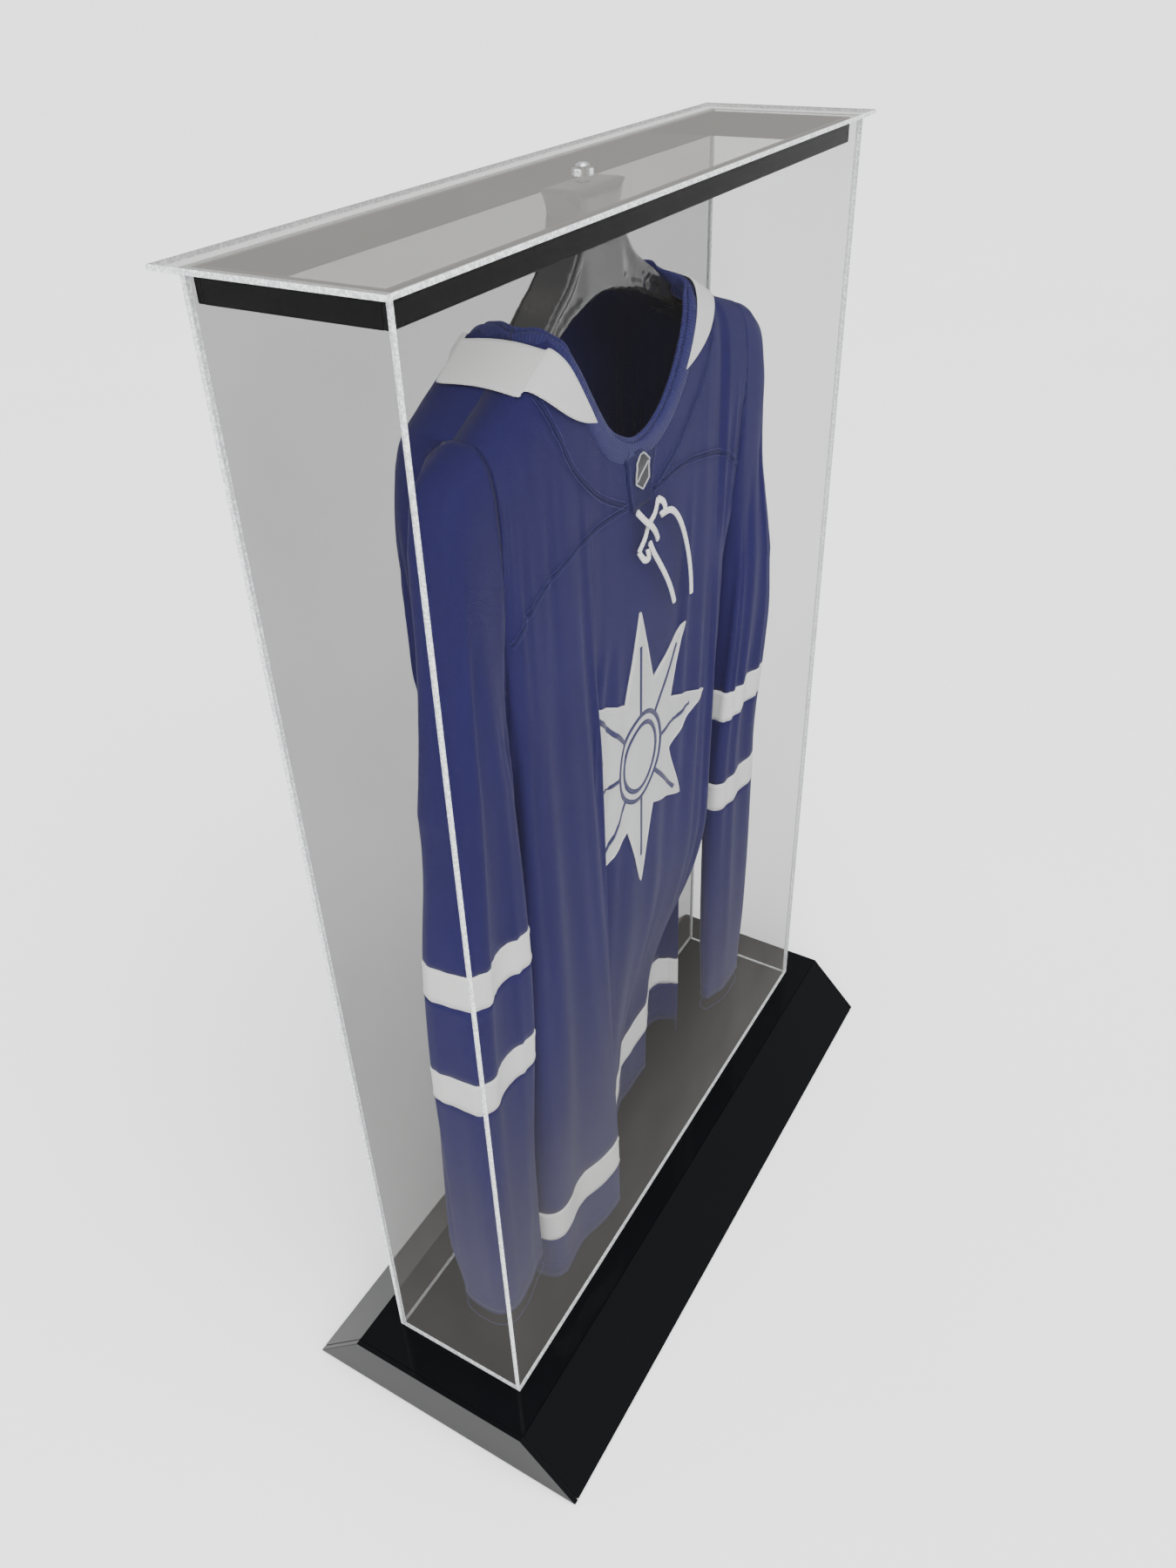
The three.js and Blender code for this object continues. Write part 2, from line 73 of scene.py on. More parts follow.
def make_camera():
    forward = Vector((math.sin(CAMERA_YAW), math.cos(CAMERA_YAW), -math.tan(CAMERA_PITCH))).normalized()
    level = Vector((math.cos(CAMERA_YAW), -math.sin(CAMERA_YAW), 0))
    above = level.cross(forward)
    right = math.cos(CAMERA_ROLL) * level + math.sin(CAMERA_ROLL) * above
    up = math.cos(CAMERA_ROLL) * above - math.sin(CAMERA_ROLL) * level
    camera = bpy.data.objects.new("camera", bpy.data.cameras.new("camera"))
    camera.data.lens = LENS_MM
    camera.data.sensor_width = 36
    turned = Matrix((right, up, -forward)).transposed().to_4x4()
    camera.matrix_world = Matrix.Translation(CAMERA_PLACE) @ turned
    bpy.context.scene.collection.objects.link(camera)
    bpy.context.scene.camera = camera


make_camera()
print("camera at", tuple(CAMERA_PLACE))

# %% Lights and world


def make_area_light(name, place, aim, size, watts, colour=(1, 1, 1)):
    light = bpy.data.lights.new(name, "AREA")
    light.shape = "RECTANGLE"
    light.size, light.size_y = size
    light.energy = watts
    light.color = colour
    lamp = bpy.data.objects.new(name, light)
    lamp.location = place
    lamp.rotation_euler = (Vector(aim) - Vector(place)).to_track_quat("-Z", "Y").to_euler()
    bpy.context.scene.collection.objects.link(lamp)


def make_sky_light(name, towards, strength, spread):
    light = bpy.data.lights.new(name, "SUN")
    light.energy = strength
    light.angle = math.radians(spread)
    lamp = bpy.data.objects.new(name, light)
    lamp.rotation_euler = Vector(towards).to_track_quat("-Z", "Y").to_euler()
    bpy.context.scene.collection.objects.link(lamp)


make_sky_light("overhead", (0.35, 0.45, -1.0), 6.6, 70)
make_area_light("left_box", (-2.6, -1.2, 1.6), (0, 0, 0.5), (1.6, 2.0), 45, (1.0, 0.985, 0.96))
world = bpy.data.worlds.new("studio")
world.use_nodes = True
world.node_tree.nodes["Background"].inputs["Color"].default_value = (0.97, 0.975, 1.0, 1)
world.node_tree.nodes["Background"].inputs["Strength"].default_value = 0.85
bpy.context.scene.world = world

# %% [markdown]
# ## Writing materials as arithmetic
# A node tree is a sum that somebody has drawn. `Wire` holds one socket of it and overloads Python's
# operators, so `1 - mask` or `base + 0.2 * speckle` adds the Math nodes by itself. Everything that
# isn't arithmetic comes from `Finish.node`, which takes a node's type, its settings and its inputs.

# %% Wire and Finish


class Wire:
    """A value in a material's node tree that takes part in Python arithmetic."""

    def __init__(self, finish, socket):
        self.finish = finish
        self.socket = socket

    def maths(self, operation, *others):
        return self.finish.node("ShaderNodeMath", {"operation": operation}, dict(enumerate((self, *others))))

    def reflected(self, operation, other):
        return self.finish.node("ShaderNodeMath", {"operation": operation}, {0: other, 1: self})

    def __add__(self, other):
        return self.maths("ADD", other)

    def __mul__(self, other):
        return self.maths("MULTIPLY", other)

    def __sub__(self, other):
        return self.maths("SUBTRACT", other)

    def __rsub__(self, other):
        return self.reflected("SUBTRACT", other)

    def __truediv__(self, other):
        return self.maths("DIVIDE", other)

    def __rtruediv__(self, other):
        return self.reflected("DIVIDE", other)

    def __abs__(self):
        return self.maths("ABSOLUTE")

    def __gt__(self, other):
        return self.maths("GREATER_THAN", other)

    def __lt__(self, other):
        return self.maths("LESS_THAN", other)

    __radd__ = __add__
    __rmul__ = __mul__

    def sine(self):
        return self.maths("SINE")

    def rise(self, low, high):
        """0 below low and 1 above high, with a smooth step between."""
        ends = {"Value": self, "From Min": low, "From Max": high}
        return self.finish.node("ShaderNodeMapRange", {"interpolation_type": "SMOOTHSTEP"}, ends)


class Finish:
    """A material, with the constants on its shader's own sockets."""

    def __init__(self, name, **constants):
        self.material = bpy.data.materials.new(name)
        self.material.use_nodes = True
        self.tree = self.material.node_tree
        self.shader = self.tree.nodes["Principled BSDF"]
        for socket, value in constants.items():
            self.shader.inputs[socket.replace("_", " ")].default_value = value

    def node(self, kind, settings=None, inputs=None, output=0):
        made = self.tree.nodes.new(kind)
        for name, value in (settings or {}).items():
            if name == "stops":
                for stop, (place, colour) in zip(made.color_ramp.elements, value):
                    stop.position = place
                    stop.color = (*colour, 1)
            else:
                setattr(made, name, value)
        for name, value in (inputs or {}).items():
            if isinstance(value, Wire):
                self.tree.links.new(value.socket, made.inputs[name])
            else:
                made.inputs[name].default_value = value
        return Wire(self, made.outputs[output])

    def feed(self, **wires):
        for socket, wire in wires.items():
            self.tree.links.new(wire.socket, self.shader.inputs[socket.replace("_", " ")])
        return self

    def place(self):
        """Object coordinates, as one vector and as x, y and z in metres."""
        vector = self.node("ShaderNodeTexCoord", output="Object")
        split = vector.finish.node("ShaderNodeSeparateXYZ", {}, {0: vector})
        return vector, [Wire(self, split.socket.node.outputs[i]) for i in range(3)]

    def cloth_place(self):
        """The cloth's own coordinates: metres across and metres up its weave."""
        vector = self.node("ShaderNodeUVMap", {"uv_map": "cloth"})
        split = self.node("ShaderNodeSeparateXYZ", {}, {0: vector})
        return vector, [Wire(self, split.socket.node.outputs[i]) for i in range(2)]

    def noise(self, vector, scale, detail=2.0, stretch=(1, 1, 1)):
        if stretch != (1, 1, 1):
            vector = self.node("ShaderNodeMapping", {}, {"Vector": vector, "Scale": stretch})
        return self.node("ShaderNodeTexNoise", {}, {"Vector": vector, "Scale": scale, "Detail": detail})

    def colours(self, factor, low, high):
        ends = {0: factor, 6: low, 7: high}
        ends = {k: v if isinstance(v, Wire) or k == 0 else (*v, 1) for k, v in ends.items()}
        return self.node("ShaderNodeMix", {"data_type": "RGBA"}, ends, output=2)

    def bump(self, height, distance, strength=1.0):
        inputs = {"Height": height, "Distance": distance, "Strength": strength}
        return self.node("ShaderNodeBump", {}, inputs)


# %% [markdown]
# ## Acrylic
# Clear acrylic sheet is nearly invisible square on. What the eye finds is its polished edges, which
# gather light, and a faint warm veil over whatever stands behind it, thicker near the bottom where
# dust settles. True refraction would keep light out of the case in a short render, so the sheet is
# mostly see-through. The light the edges gather is a painted highlight, a pale base colour along
# them. The veil is the room's reflection, painted as a faint glow of the sheet, which stays clean
# where a half-clear mirror would be grainy; the dust near the bottom is painted as a lighter glow.
# The edges are found from the sheet's own size.

# %% Clear acrylic
# The veil colour is a glow of the sheet: painted reflection of the room.
VEIL_REFLECTION_GLOW = (0.040, 0.038, 0.035)
# The dust colour is real dust near the foot, with its light painted as a glow.
DUST_GLOW_COLOUR = (0.25, 0.243, 0.232)
# The lid's colour is a stronger glow: painted reflection of the room seen from above.
LID_REFLECTION_GLOW = (0.46, 0.45, 0.425)
CLEAR_SHADE = (0.004, 0.004, 0.004)
# The two edge colours are a painted highlight: the light that polished edges gather, speckled.
EDGE_HIGHLIGHT = (0.80, 0.82, 0.83)
EDGE_HIGHLIGHT_DIM = (0.46, 0.475, 0.485)
EDGE_WIDTH = 0.9 * MM
PANEL_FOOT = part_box("front_panel")[0].z
DUST_REACH = 0.55


def clear_acrylic(node, thin, veil, dusty, stray):
    """Clear sheet for one node: thin is the axis through it, veil how much it hides, stray its painted
    reflection.
    """
    low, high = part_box(node)
    made = Finish("clear_acrylic_" + node, Roughness=0.2, Specular_IOR_Level=0.0, Emission_Strength=1.0)
    vector, axes = made.place()
    edge = None
    for axis in range(3):
        if axis != thin:
            half = (high[axis] - low[axis]) / 2
            inside = half - abs(axes[axis] - (low[axis] + half))
            near = 1 - inside.rise(0.2 * EDGE_WIDTH, EDGE_WIDTH)
            edge = near if edge is None else edge.maths("MAXIMUM", near)
    speckle = made.noise(vector, 700, 3).rise(0.42, 0.62)
    smear = made.noise(vector, 5, 3).rise(0.35, 0.75)
    # Towards the foot the sheet is hazier with dust, and its glow there is lighter: painted light on the
    # dust.
    lowest = (1 - axes[2].rise(PANEL_FOOT, PANEL_FOOT + DUST_REACH)) * (0.8 + 0.2 * smear)
    face = veil + 0.02 * smear + dusty * lowest
    # Along each edge the pale base colour is the painted highlight.
    painted_edge_light = made.colours(speckle, EDGE_HIGHLIGHT_DIM, EDGE_HIGHLIGHT)
    glow = made.colours(lowest * (dusty > 0), stray, DUST_GLOW_COLOUR)
    made.feed(
        Base_Color=made.colours(edge, CLEAR_SHADE, painted_edge_light),
        Emission_Color=made.colours(edge, glow, CLEAR_SHADE),
        Alpha=face + edge * (0.92 - face),
        Roughness=0.15 + 0.1 * smear,
    )
    return made.material


# %% Black acrylic


def black_acrylic():
    """Polished black sheet with a little dust and hairline scratches."""
    made = Finish("black_acrylic", Specular_IOR_Level=0.05)
    vector, _ = made.place()
    smear = made.noise(vector, 7, 3)
    dust = made.noise(vector, 1300, 1).rise(0.82, 0.86)
    hairline = made.noise(vector, 240, 2, (1, 0.04, 0.3)).rise(0.66, 0.72)
    made.feed(
        Base_Color=made.colours(dust, (0.0032, 0.0034, 0.004), (0.03, 0.03, 0.03)),
        Roughness=0.03 + 0.05 * smear + 0.2 * dust + 0.05 * hairline,
        Normal=made.bump(made.noise(vector, 3.0, 1), 0.6 * MM, 0.3),
    )
    return made.material


def rubber():
    made = Finish("bumper_rubber")
    vector, _ = made.place()
    grain = made.noise(vector, 900, 3)
    made.feed(
        Base_Color=made.colours(grain, (0.008, 0.008, 0.008), (0.03, 0.03, 0.031)),
        Roughness=0.6 + 0.3 * grain,
        Normal=made.bump(grain, 0.15 * MM),
    )
    return made.material


# %% [markdown]
# ## Plastic and metal
# The hanger is glossy moulded plastic with a faint orange-peel skin. The screw is bright steel
# turned on a lathe, so its scratches run round its axis, and the insert is brass, dulled a little.

# %% Hanger plastic, steel and brass


def moulded_plastic():
    made = Finish("hanger_plastic", IOR=1.52, Coat_Roughness=0.06)
    vector, _ = made.place()
    peel = made.noise(vector, 260, 2)
    wear = made.noise(vector, 14, 4).rise(0.4, 0.7)
    made.feed(
        Base_Color=made.colours(wear, (0.018, 0.018, 0.019), (0.034, 0.033, 0.032)),
        Roughness=0.2 + 0.1 * wear,
        Coat_Weight=0.35 - 0.1 * wear,
        Normal=made.bump(peel, 0.12 * MM, 0.4),
    )
    return made.material


def turned_metal(name, node, dark, light, roughness):
    """Metal from a lathe, its fine rings centred on the node's own axis."""
    low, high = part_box(node)
    made = Finish(name, Metallic=1.0)
    vector, axes = made.place()
    across = axes[0] - (low.x + high.x) / 2
    along = axes[1] - (low.y + high.y) / 2
    radius = (across * across + along * along).maths("SQRT")
    rings = (radius * 14000).sine() * 0.5 + 0.5
    tarnish = made.noise(vector, 300, 3)
    made.feed(
        Base_Color=made.colours(tarnish, dark, light),
        Roughness=roughness + 0.1 * rings + 0.1 * tarnish,
        Normal=made.bump(rings, 0.02 * MM, 0.5),
    )
    return made.material


# %% Finish the rigid parts


def dress(node, material, bevel=0.0):
    """Gives a solid node its material, and rounds its edges without touching its mesh."""
    part = nodes[node]
    part.data.materials.clear()
    part.data.materials.append(material)
    if bevel:
        weld = part.modifiers.new("weld", "WELD")
        weld.merge_threshold = 0.01 * MM
        rounding = part.modifiers.new("edges", "BEVEL")
        rounding.width = bevel
        rounding.segments = 2
        rounding.limit_method = "ANGLE"
        rounding.angle_limit = math.radians(25)


X, Y, Z = range(3)
# The last value of each sheet is its glow colour, a painted reflection of the room.
SHEETS = {"front_panel": (Y, 0.13, 0.13, VEIL_REFLECTION_GLOW), "left_panel": (X, 0.12, 0.10, VEIL_REFLECTION_GLOW)}
SHEETS.update(right_panel=(X, 0.14, 0.0, VEIL_REFLECTION_GLOW), back_panel=(Y, 0.42, 0.0, VEIL_REFLECTION_GLOW))
SHEETS.update(lid_plate=(Z, 0.42, 0.0, LID_REFLECTION_GLOW), hanger_boss=(Z, 0.35, 0.0, LID_REFLECTION_GLOW))
for node, (thin, veil, dusty, glow) in SHEETS.items():
    dress(node, clear_acrylic(node, thin, veil, dusty, glow), 0.35 * MM)
gloss_black = black_acrylic()
for node in nodes:
    if node.startswith("base_") or node.startswith("band_"):
        dress(node, gloss_black, 0.5 * MM)
    elif node.startswith("foot_"):
        dress(node, rubber(), 0.6 * MM)
screw_steel = turned_metal("screw_steel", "hanger_screw", (0.5, 0.51, 0.52), (0.72, 0.73, 0.75), 0.18)
insert_brass = turned_metal("insert_brass", "threaded_insert", (0.42, 0.28, 0.1), (0.7, 0.5, 0.22), 0.3)
dress("hanger_screw", screw_steel, 0.25 * MM)
dress("threaded_insert", insert_brass)
print("dressed", sum(1 for n in nodes.values() if n.data.materials), "solid nodes")

# %% [markdown]
# ## The floor
# A plain pale floor, wide enough to fill every view. It is part of the studio and not of the case.

# %% Floor


def make_floor():
    made = Finish("studio_floor", Roughness=0.7)
    vector, _ = made.place()
    made.feed(Base_Color=made.colours(made.noise(vector, 2.0, 2), (0.90, 0.90, 0.90), (0.94, 0.94, 0.94)))
    mesh = bpy.data.meshes.new("floor")
    reach = 90
    corners = [(-reach, -reach, 0), (reach, -reach, 0), (reach, reach, 0), (-reach, reach, 0)]
    mesh.from_pydata(corners, [], [(0, 1, 2, 3)])
    mesh.materials.append(made.material)
    floor = bpy.data.objects.new("floor", mesh)
    bpy.context.scene.collection.objects.link(floor)


make_floor()

# %% [markdown]
# ## Pieces from points
# Every piece below is a mesh made from lists of points in the case's own frame, in metres, so its
# object stays at the origin. A grid of points with rows and columns is enough for cloth, bands,
# cords and patches, and it gives each of them a map in metres that the knit can follow.

# %% Mesh helpers


def make_piece(name, points, faces, material, body, uv=None, smooth=True):
    mesh = bpy.data.meshes.new(name)
    mesh.from_pydata([tuple(p) for p in points], [], [tuple(int(i) for i in f) for f in faces])
    if uv is not None:
        layer = mesh.uv_layers.new(name="cloth")
        loops = np.empty(len(mesh.loops), int)
        mesh.loops.foreach_get("vertex_index", loops)
        layer.data.foreach_set("uv", np.asarray(uv, np.float32)[loops].ravel())
    mesh.materials.append(material)
    if smooth:
        mesh.shade_smooth()
    piece = bpy.data.objects.new(name, mesh)
    bpy.context.scene.collection.objects.link(piece)
    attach(piece, body)
    return piece


def grid_faces(rows, columns):
    """Quads between neighbouring rows and columns."""
    faces = []
    for row in range(rows - 1):
        for column in range(columns - 1):
            corner = row * columns + column
            faces.append((corner, corner + 1, corner + columns + 1, corner + columns))
    return faces


def spline(points, count):
    """Evenly stepped Catmull-Rom curve through the points, as an array."""
    points = np.asarray(points, float)
    last = len(points) - 1
    out = []
    for place in np.linspace(0, last, count):
        k = min(int(place), last - 1)
        t = place - k
        a, b, c, d = points[np.clip([k - 1, k, k + 1, k + 2], 0, last)]
        square = (2 * a - 5 * b + 4 * c - d) * t**2
        cube = (3 * b - a - 3 * c + d) * t**3
        out.append(0.5 * (2 * b + (c - a) * t + square + cube))
    return np.array(out)


def unit(vectors):
    return vectors / np.maximum(np.linalg.norm(vectors, axis=-1, keepdims=True), 1e-12)


def heading(path, closed):
    """The direction along a path at each of its points."""
    return unit(np.roll(path, -1, 0) - np.roll(path, 1, 0) if closed else np.gradient(path, axis=0))


def run_of(path):
    """The distance along a path to each of its points."""
    return np.concatenate([[0], np.cumsum(np.linalg.norm(np.diff(path, axis=0), axis=1))])


def swept(path, section, normals, closed=False):
    """A section of (across, out) offsets carried along a path whose surface normals are given."""
    along = heading(path, closed)
    across = unit(np.cross(along, normals))
    out = unit(np.cross(across, along))
    section = np.asarray(section, float)
    rings = path[:, None] + section[None, :, :1] * across[:, None] + section[None, :, 1:] * out[:, None]
    return rings.reshape(-1, 3)


def tube_faces(rings, sides, closed):
    """Quads between the rings of a tube, which is capped unless it closes on itself."""
    faces = []
    for ring in range(rings if closed else rings - 1):
        here = ring * sides
        ahead = (ring + 1) % rings * sides
        for side in range(sides):
            beyond = (side + 1) % sides
            faces.append((here + side, ahead + side, ahead + beyond, here + beyond))
    if not closed:
        faces += [tuple(range(sides)), tuple((rings - 1) * sides + c for c in reversed(range(sides)))]
    return faces


def face_out(piece):
    """Turns a closed mesh's faces outwards."""
    work = bmesh.new()
    work.from_mesh(piece.data)
    bmesh.ops.recalc_face_normals(work, faces=work.faces)
    work.to_mesh(piece.data)
    work.free()


# %% [markdown]
# ## Knit, twill and lace
# Sports knit is a fine mesh: columns of loops 1.3 mm apart with a row of tiny holes between them.
# The pattern lies in the cloth's own map, so it bends with each fold. White knit is the same cloth
# in another yarn. The crest is twill with a diagonal rib, and its lines are a second twill sewn on.

# %% Cloth finishes
BLUE_DEEP = (0.0046, 0.0028, 0.046)
BLUE_LIGHT = (0.0085, 0.0055, 0.086)
WHITE_DEEP = (0.54, 0.545, 0.54)
WHITE_LIGHT = (0.78, 0.785, 0.775)
LOOP = 1.3 * MM


def knit(name, deep, light, loop=LOOP, depth=0.12 * MM, holes=0.35):
    made = Finish(name, Sheen_Weight=0.05, Sheen_Roughness=0.4)
    made.shader.inputs["Specular IOR Level"].default_value = 0.25
    vector, (across, up) = made.cloth_place()
    wale = (across * (2 * math.pi / loop)).sine()
    course = (up * (2 * math.pi / loop)).sine()
    loops = wale * course * 0.5 + 0.5
    # Holes are darker in colour as well as pressed in: painted shade inside them.
    hole = loops.rise(0.8, 0.98) * holes
    patches = made.noise(vector, 9, 3)
    fluff = made.noise(vector, 900, 2)
    made.feed(
        Base_Color=made.colours(0.55 * patches + 0.35 * fluff + 0.2 * (1 - hole) - 0.1, deep, light),
        Roughness=0.72 + 0.2 * fluff,
        Normal=made.bump(loops + 0.4 * fluff - hole, depth, 0.7),
    )
    return made.material


def ribbed(name, deep, light, pitch):
    """Rib knit: rounded ridges that run across the band, with shade painted into the grooves."""
    made = Finish(name, Sheen_Weight=0.05, Sheen_Roughness=0.4)
    vector, (across, _) = made.cloth_place()
    ridge = (across * (2 * math.pi / pitch)).sine() * 0.5 + 0.5
    fluff = made.noise(vector, 1100, 2)
    made.feed(
        Base_Color=made.colours(0.7 * ridge + 0.3 * fluff, deep, light),
        Roughness=0.75 + 0.2 * fluff,
        Normal=made.bump(ridge + 0.3 * fluff, 0.35 * MM, 0.8),
    )
    return made.material


def twill(name, deep, light, rib=0.9 * MM):
    made = Finish(name, Sheen_Weight=0.1)
    vector, (across, up) = made.cloth_place()
    # The diagonal rib is lighter on its crest and darker in its groove: painted shade.
    diagonal = ((across + up * 0.7) * (2 * math.pi / rib)).sine() * 0.5 + 0.5
    wear = made.noise(vector, 30, 3)
    made.feed(
        Base_Color=made.colours(0.5 * diagonal + 0.5 * wear, deep, light),
        Roughness=0.5 + 0.25 * wear,
        Normal=made.bump(diagonal, 0.12 * MM, 0.7),
    )
    return made.material


def braid(name, deep, light, pitch=3.2 * MM):
    """Flat braid: two sets of strands that cross along the lace, with shade painted between them."""
    made = Finish(name, Sheen_Weight=0.1)
    vector, (across, along) = made.cloth_place()
    one = ((along + across * 0.6) * (2 * math.pi / pitch)).sine()
    two = ((along - across * 0.6) * (2 * math.pi / pitch)).sine()
    strands = one.maths("MAXIMUM", two) * 0.5 + 0.5
    made.feed(
        Base_Color=made.colours(strands, deep, light),
        Roughness=0.8 + 0.1 * made.noise(vector, 600, 2),
        Normal=made.bump(strands, 0.3 * MM, 0.8),
    )
    return made.material


blue_knit = knit("blue_knit", BLUE_DEEP, BLUE_LIGHT)
white_knit = knit("white_knit", WHITE_DEEP, WHITE_LIGHT, holes=0.3)
blue_rib = ribbed("blue_rib", (0.0050, 0.0048, 0.058), (0.010, 0.010, 0.112), 2.2 * MM)
blue_trim = knit("blue_trim", (0.0032, 0.0030, 0.038), (0.0065, 0.0062, 0.075), 1.0 * MM, 0.15 * MM, 0.2)
crest_twill = twill("crest_twill", (0.42, 0.43, 0.43), (0.60, 0.61, 0.60))
crest_lines = twill("crest_lines", (0.0045, 0.0042, 0.050), (0.009, 0.0085, 0.095))
label_cloth = twill("label_cloth", (0.008, 0.008, 0.010), (0.022, 0.022, 0.026), 0.5 * MM)
badge_edge = twill("badge_edge", (0.30, 0.31, 0.33), (0.5, 0.51, 0.53), 0.6 * MM)
tag_card = twill("tag_card", (0.45, 0.44, 0.42), (0.60, 0.59, 0.57), 2.0 * MM)
tag_red = twill("tag_red", (0.30, 0.03, 0.025), (0.40, 0.06, 0.05), 2.0 * MM)
lace_braid = braid("lace_braid", (0.55, 0.55, 0.54), (0.86, 0.86, 0.84))
blue_thread = braid("blue_thread", (0.0055, 0.0055, 0.060), (0.014, 0.015, 0.140), 1.0 * MM)
white_thread = braid("white_thread", (0.56, 0.56, 0.55), (0.78, 0.78, 0.77), 1.0 * MM)
print("cloth finishes ready")

# %% [markdown]
# ## The jersey's shape
# The jersey hangs in a case half as deep as a person, so it can't hang flat and wide: its body is
# folded into a narrow stack. On the left a flat pleat runs down the front, over the edge of the
# crest, and below the crest the middle of the hem swings back towards the back panel.
# One way is to drape a flat pattern by simulation alone, but then nobody can say where the pleat
# will fall. Here the plan of the cloth is drawn at three heights, as a tailor would pin it, and
# a surface is lofted through them. The simulation then only has to settle the cloth.

# %% Sizes from the case
hanger_low, hanger_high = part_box("hanger")
HANG_X = (hanger_low.x + hanger_high.x) / 2
HANGER_TOP = hanger_high.z
HALF_SPAN = (hanger_high.x - hanger_low.x) / 2
screw_low, screw_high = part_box("hanger_screw")
HANG_Y = (screw_low.y + screw_high.y) / 2
ARM_SWEEP = 18 * MM
HEM_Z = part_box("jersey_front_hem")[0].z
HEM_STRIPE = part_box("jersey_front_hem_stripe")[0].z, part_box("jersey_front_hem_stripe")[1].z
LEFT_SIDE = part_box("jersey_front")[0].x
RIGHT_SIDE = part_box("jersey_front")[1].x
# The upper edge of one arm of the hanger: (distance from its middle, drop below its top).
ARM_TOP = np.array([(0, 30), (29, 30), (44, 49), (64, 62), (86, 76), (142, 104), (189, 120), (215, 132)]) * MM
NECK_HALF = 90 * MM
NECK_SHOULDER = HANGER_TOP - 70 * MM
NECK_DEPTH = {"front": 86 * MM, "back": 20 * MM}
UNDERARM_Z = 0.700
RIDGE_LIFT = 7 * MM


def ridge_height(x):
    """Where the cloth crosses the top of the hanger's arm, which is lower the further out."""
    distance = np.abs(np.asarray(x) - HANG_X)
    height = HANGER_TOP - np.interp(distance, ARM_TOP[:, 0], ARM_TOP[:, 1]) + RIDGE_LIFT
    return np.where(distance < NECK_HALF, NECK_SHOULDER, np.minimum(height, NECK_SHOULDER))


def ridge_depth(x):
    share = np.minimum(np.abs(np.asarray(x) - HANG_X) / HALF_SPAN, 1)
    return HANG_Y - ARM_SWEEP * share**2


def cloth_top(x, side):
    """The upper edge of a panel: the neckline in the middle and the shoulder seam outside it."""
    share = np.clip(np.abs(np.asarray(x) - HANG_X) / NECK_HALF, 0, 1)
    neckline = NECK_SHOULDER - NECK_DEPTH[side] * (1 - share ** (2.4 if side == "front" else 3.0))
    return np.minimum(ridge_height(x), neckline)


# %% The plan at three heights
# Front cloth from the left side to the right, in millimetres: x and y near the chest, beside the
# crest and at the hem. Stations 5 to 13 are the flat pleat, which is closed up near the chest.
FRONT_PLAN = [
    ((-204, 2), (-205, 4), (-204, 8)),
    ((-204, -22), (-206, -20), (-208, -18)),
    ((-196, -40), (-200, -42), (-203, -40)),
    ((-176, -46), (-180, -50), (-186, -50)),
    ((-150, -47), (-150, -51), (-152, -49)),
    ((-124, -47), (-122, -51), (-120, -52)),
    ((-106, -47), (-99, -51), (-99, -51.5)),
    ((-101, -46.8), (-95, -49.2), (-95, -49.4)),
    ((-97, -46.5), (-99, -47.2), (-99, -47.2)),
    ((-92, -46.4), (-122, -46.4), (-122, -46.4)),
    ((-87, -46.3), (-147, -45.8), (-146, -45.4)),
    ((-82, -46.2), (-151, -43.4), (-150, -43.0)),
    ((-77, -46), (-147, -41), (-146, -40.5)),
    ((-66, -46), (-120, -40.4), (-118, -39.5)),
    ((-54, -46), (-93, -40.5), (-92, -36)),
    ((-32, -46), (-60, -41.5), (-56, -24)),
    ((-6, -46), (-28, -42), (-20, -6)),
    ((20, -46), (4, -42), (12, 5)),
    ((46, -46), (38, -44), (40, 8)),
    ((70, -46), (68, -45), (66, 9)),
    ((92, -45), (91, -45), (88, 18)),
    ((112, -42), (112, -42), (106, 34)),
    ((128, -34), (127, -34), (126, 37)),
    ((138, -20), (138, -18), (146, 26)),
    ((142, -2), (142, 2), (152, 6)),
]
CHEST_Z = (0.640, 0.740)
SWING_Z = (0.190, 0.450)
STEPS = 5
ROWS = {"hem": 9, "stripe": 7, "body": 96}
STATIONS = len(FRONT_PLAN)
COLUMNS = STEPS * (STATIONS - 1) + 1


def smooth_step(value, low, high):
    t = np.clip((value - low) / (high - low), 0, 1)
    return t * t * (3 - 2 * t)


def back_plan():
    """The back hangs in shallow waves close to the back panel, and ends on the same side seams."""
    plan = []
    for k, (top, middle, hem) in enumerate(FRONT_PLAN):
        from_edge = min(k, STATIONS - 1 - k)
        depth = (2, 26, 40, 45)[min(from_edge, 3)]
        waves = (8, 30, 43, 48)[min(from_edge, 3)] + (2.6 * math.sin(1.7 * k) if from_edge > 2 else 0)
        spread = -204 + 356 * k / (STATIONS - 1)
        plan.append(((top[0], depth), (0.5 * (top[0] + spread), depth + 0.5), (spread, waves)))
    plan[0], plan[-1] = FRONT_PLAN[0], FRONT_PLAN[-1]
    return plan


def ripples(x, z, seed, reach):
    """Soft upright folds that fade towards the shoulders."""
    rng = np.random.default_rng(seed)
    total = np.zeros_like(x)
    for wave in (0.21, 0.13, 0.085, 0.055):
        lean = rng.uniform(-0.16, 0.16)
        phase = rng.uniform(0, 2 * math.pi)
        total += wave * np.sin(2 * math.pi * (x + lean * z + 0.012 * np.sin(9 * z + phase)) / wave + phase)
    grow = 0.25 + 0.75 * (1 - smooth_step(z, 0.25, 0.80))
    return total * grow * reach / 0.21


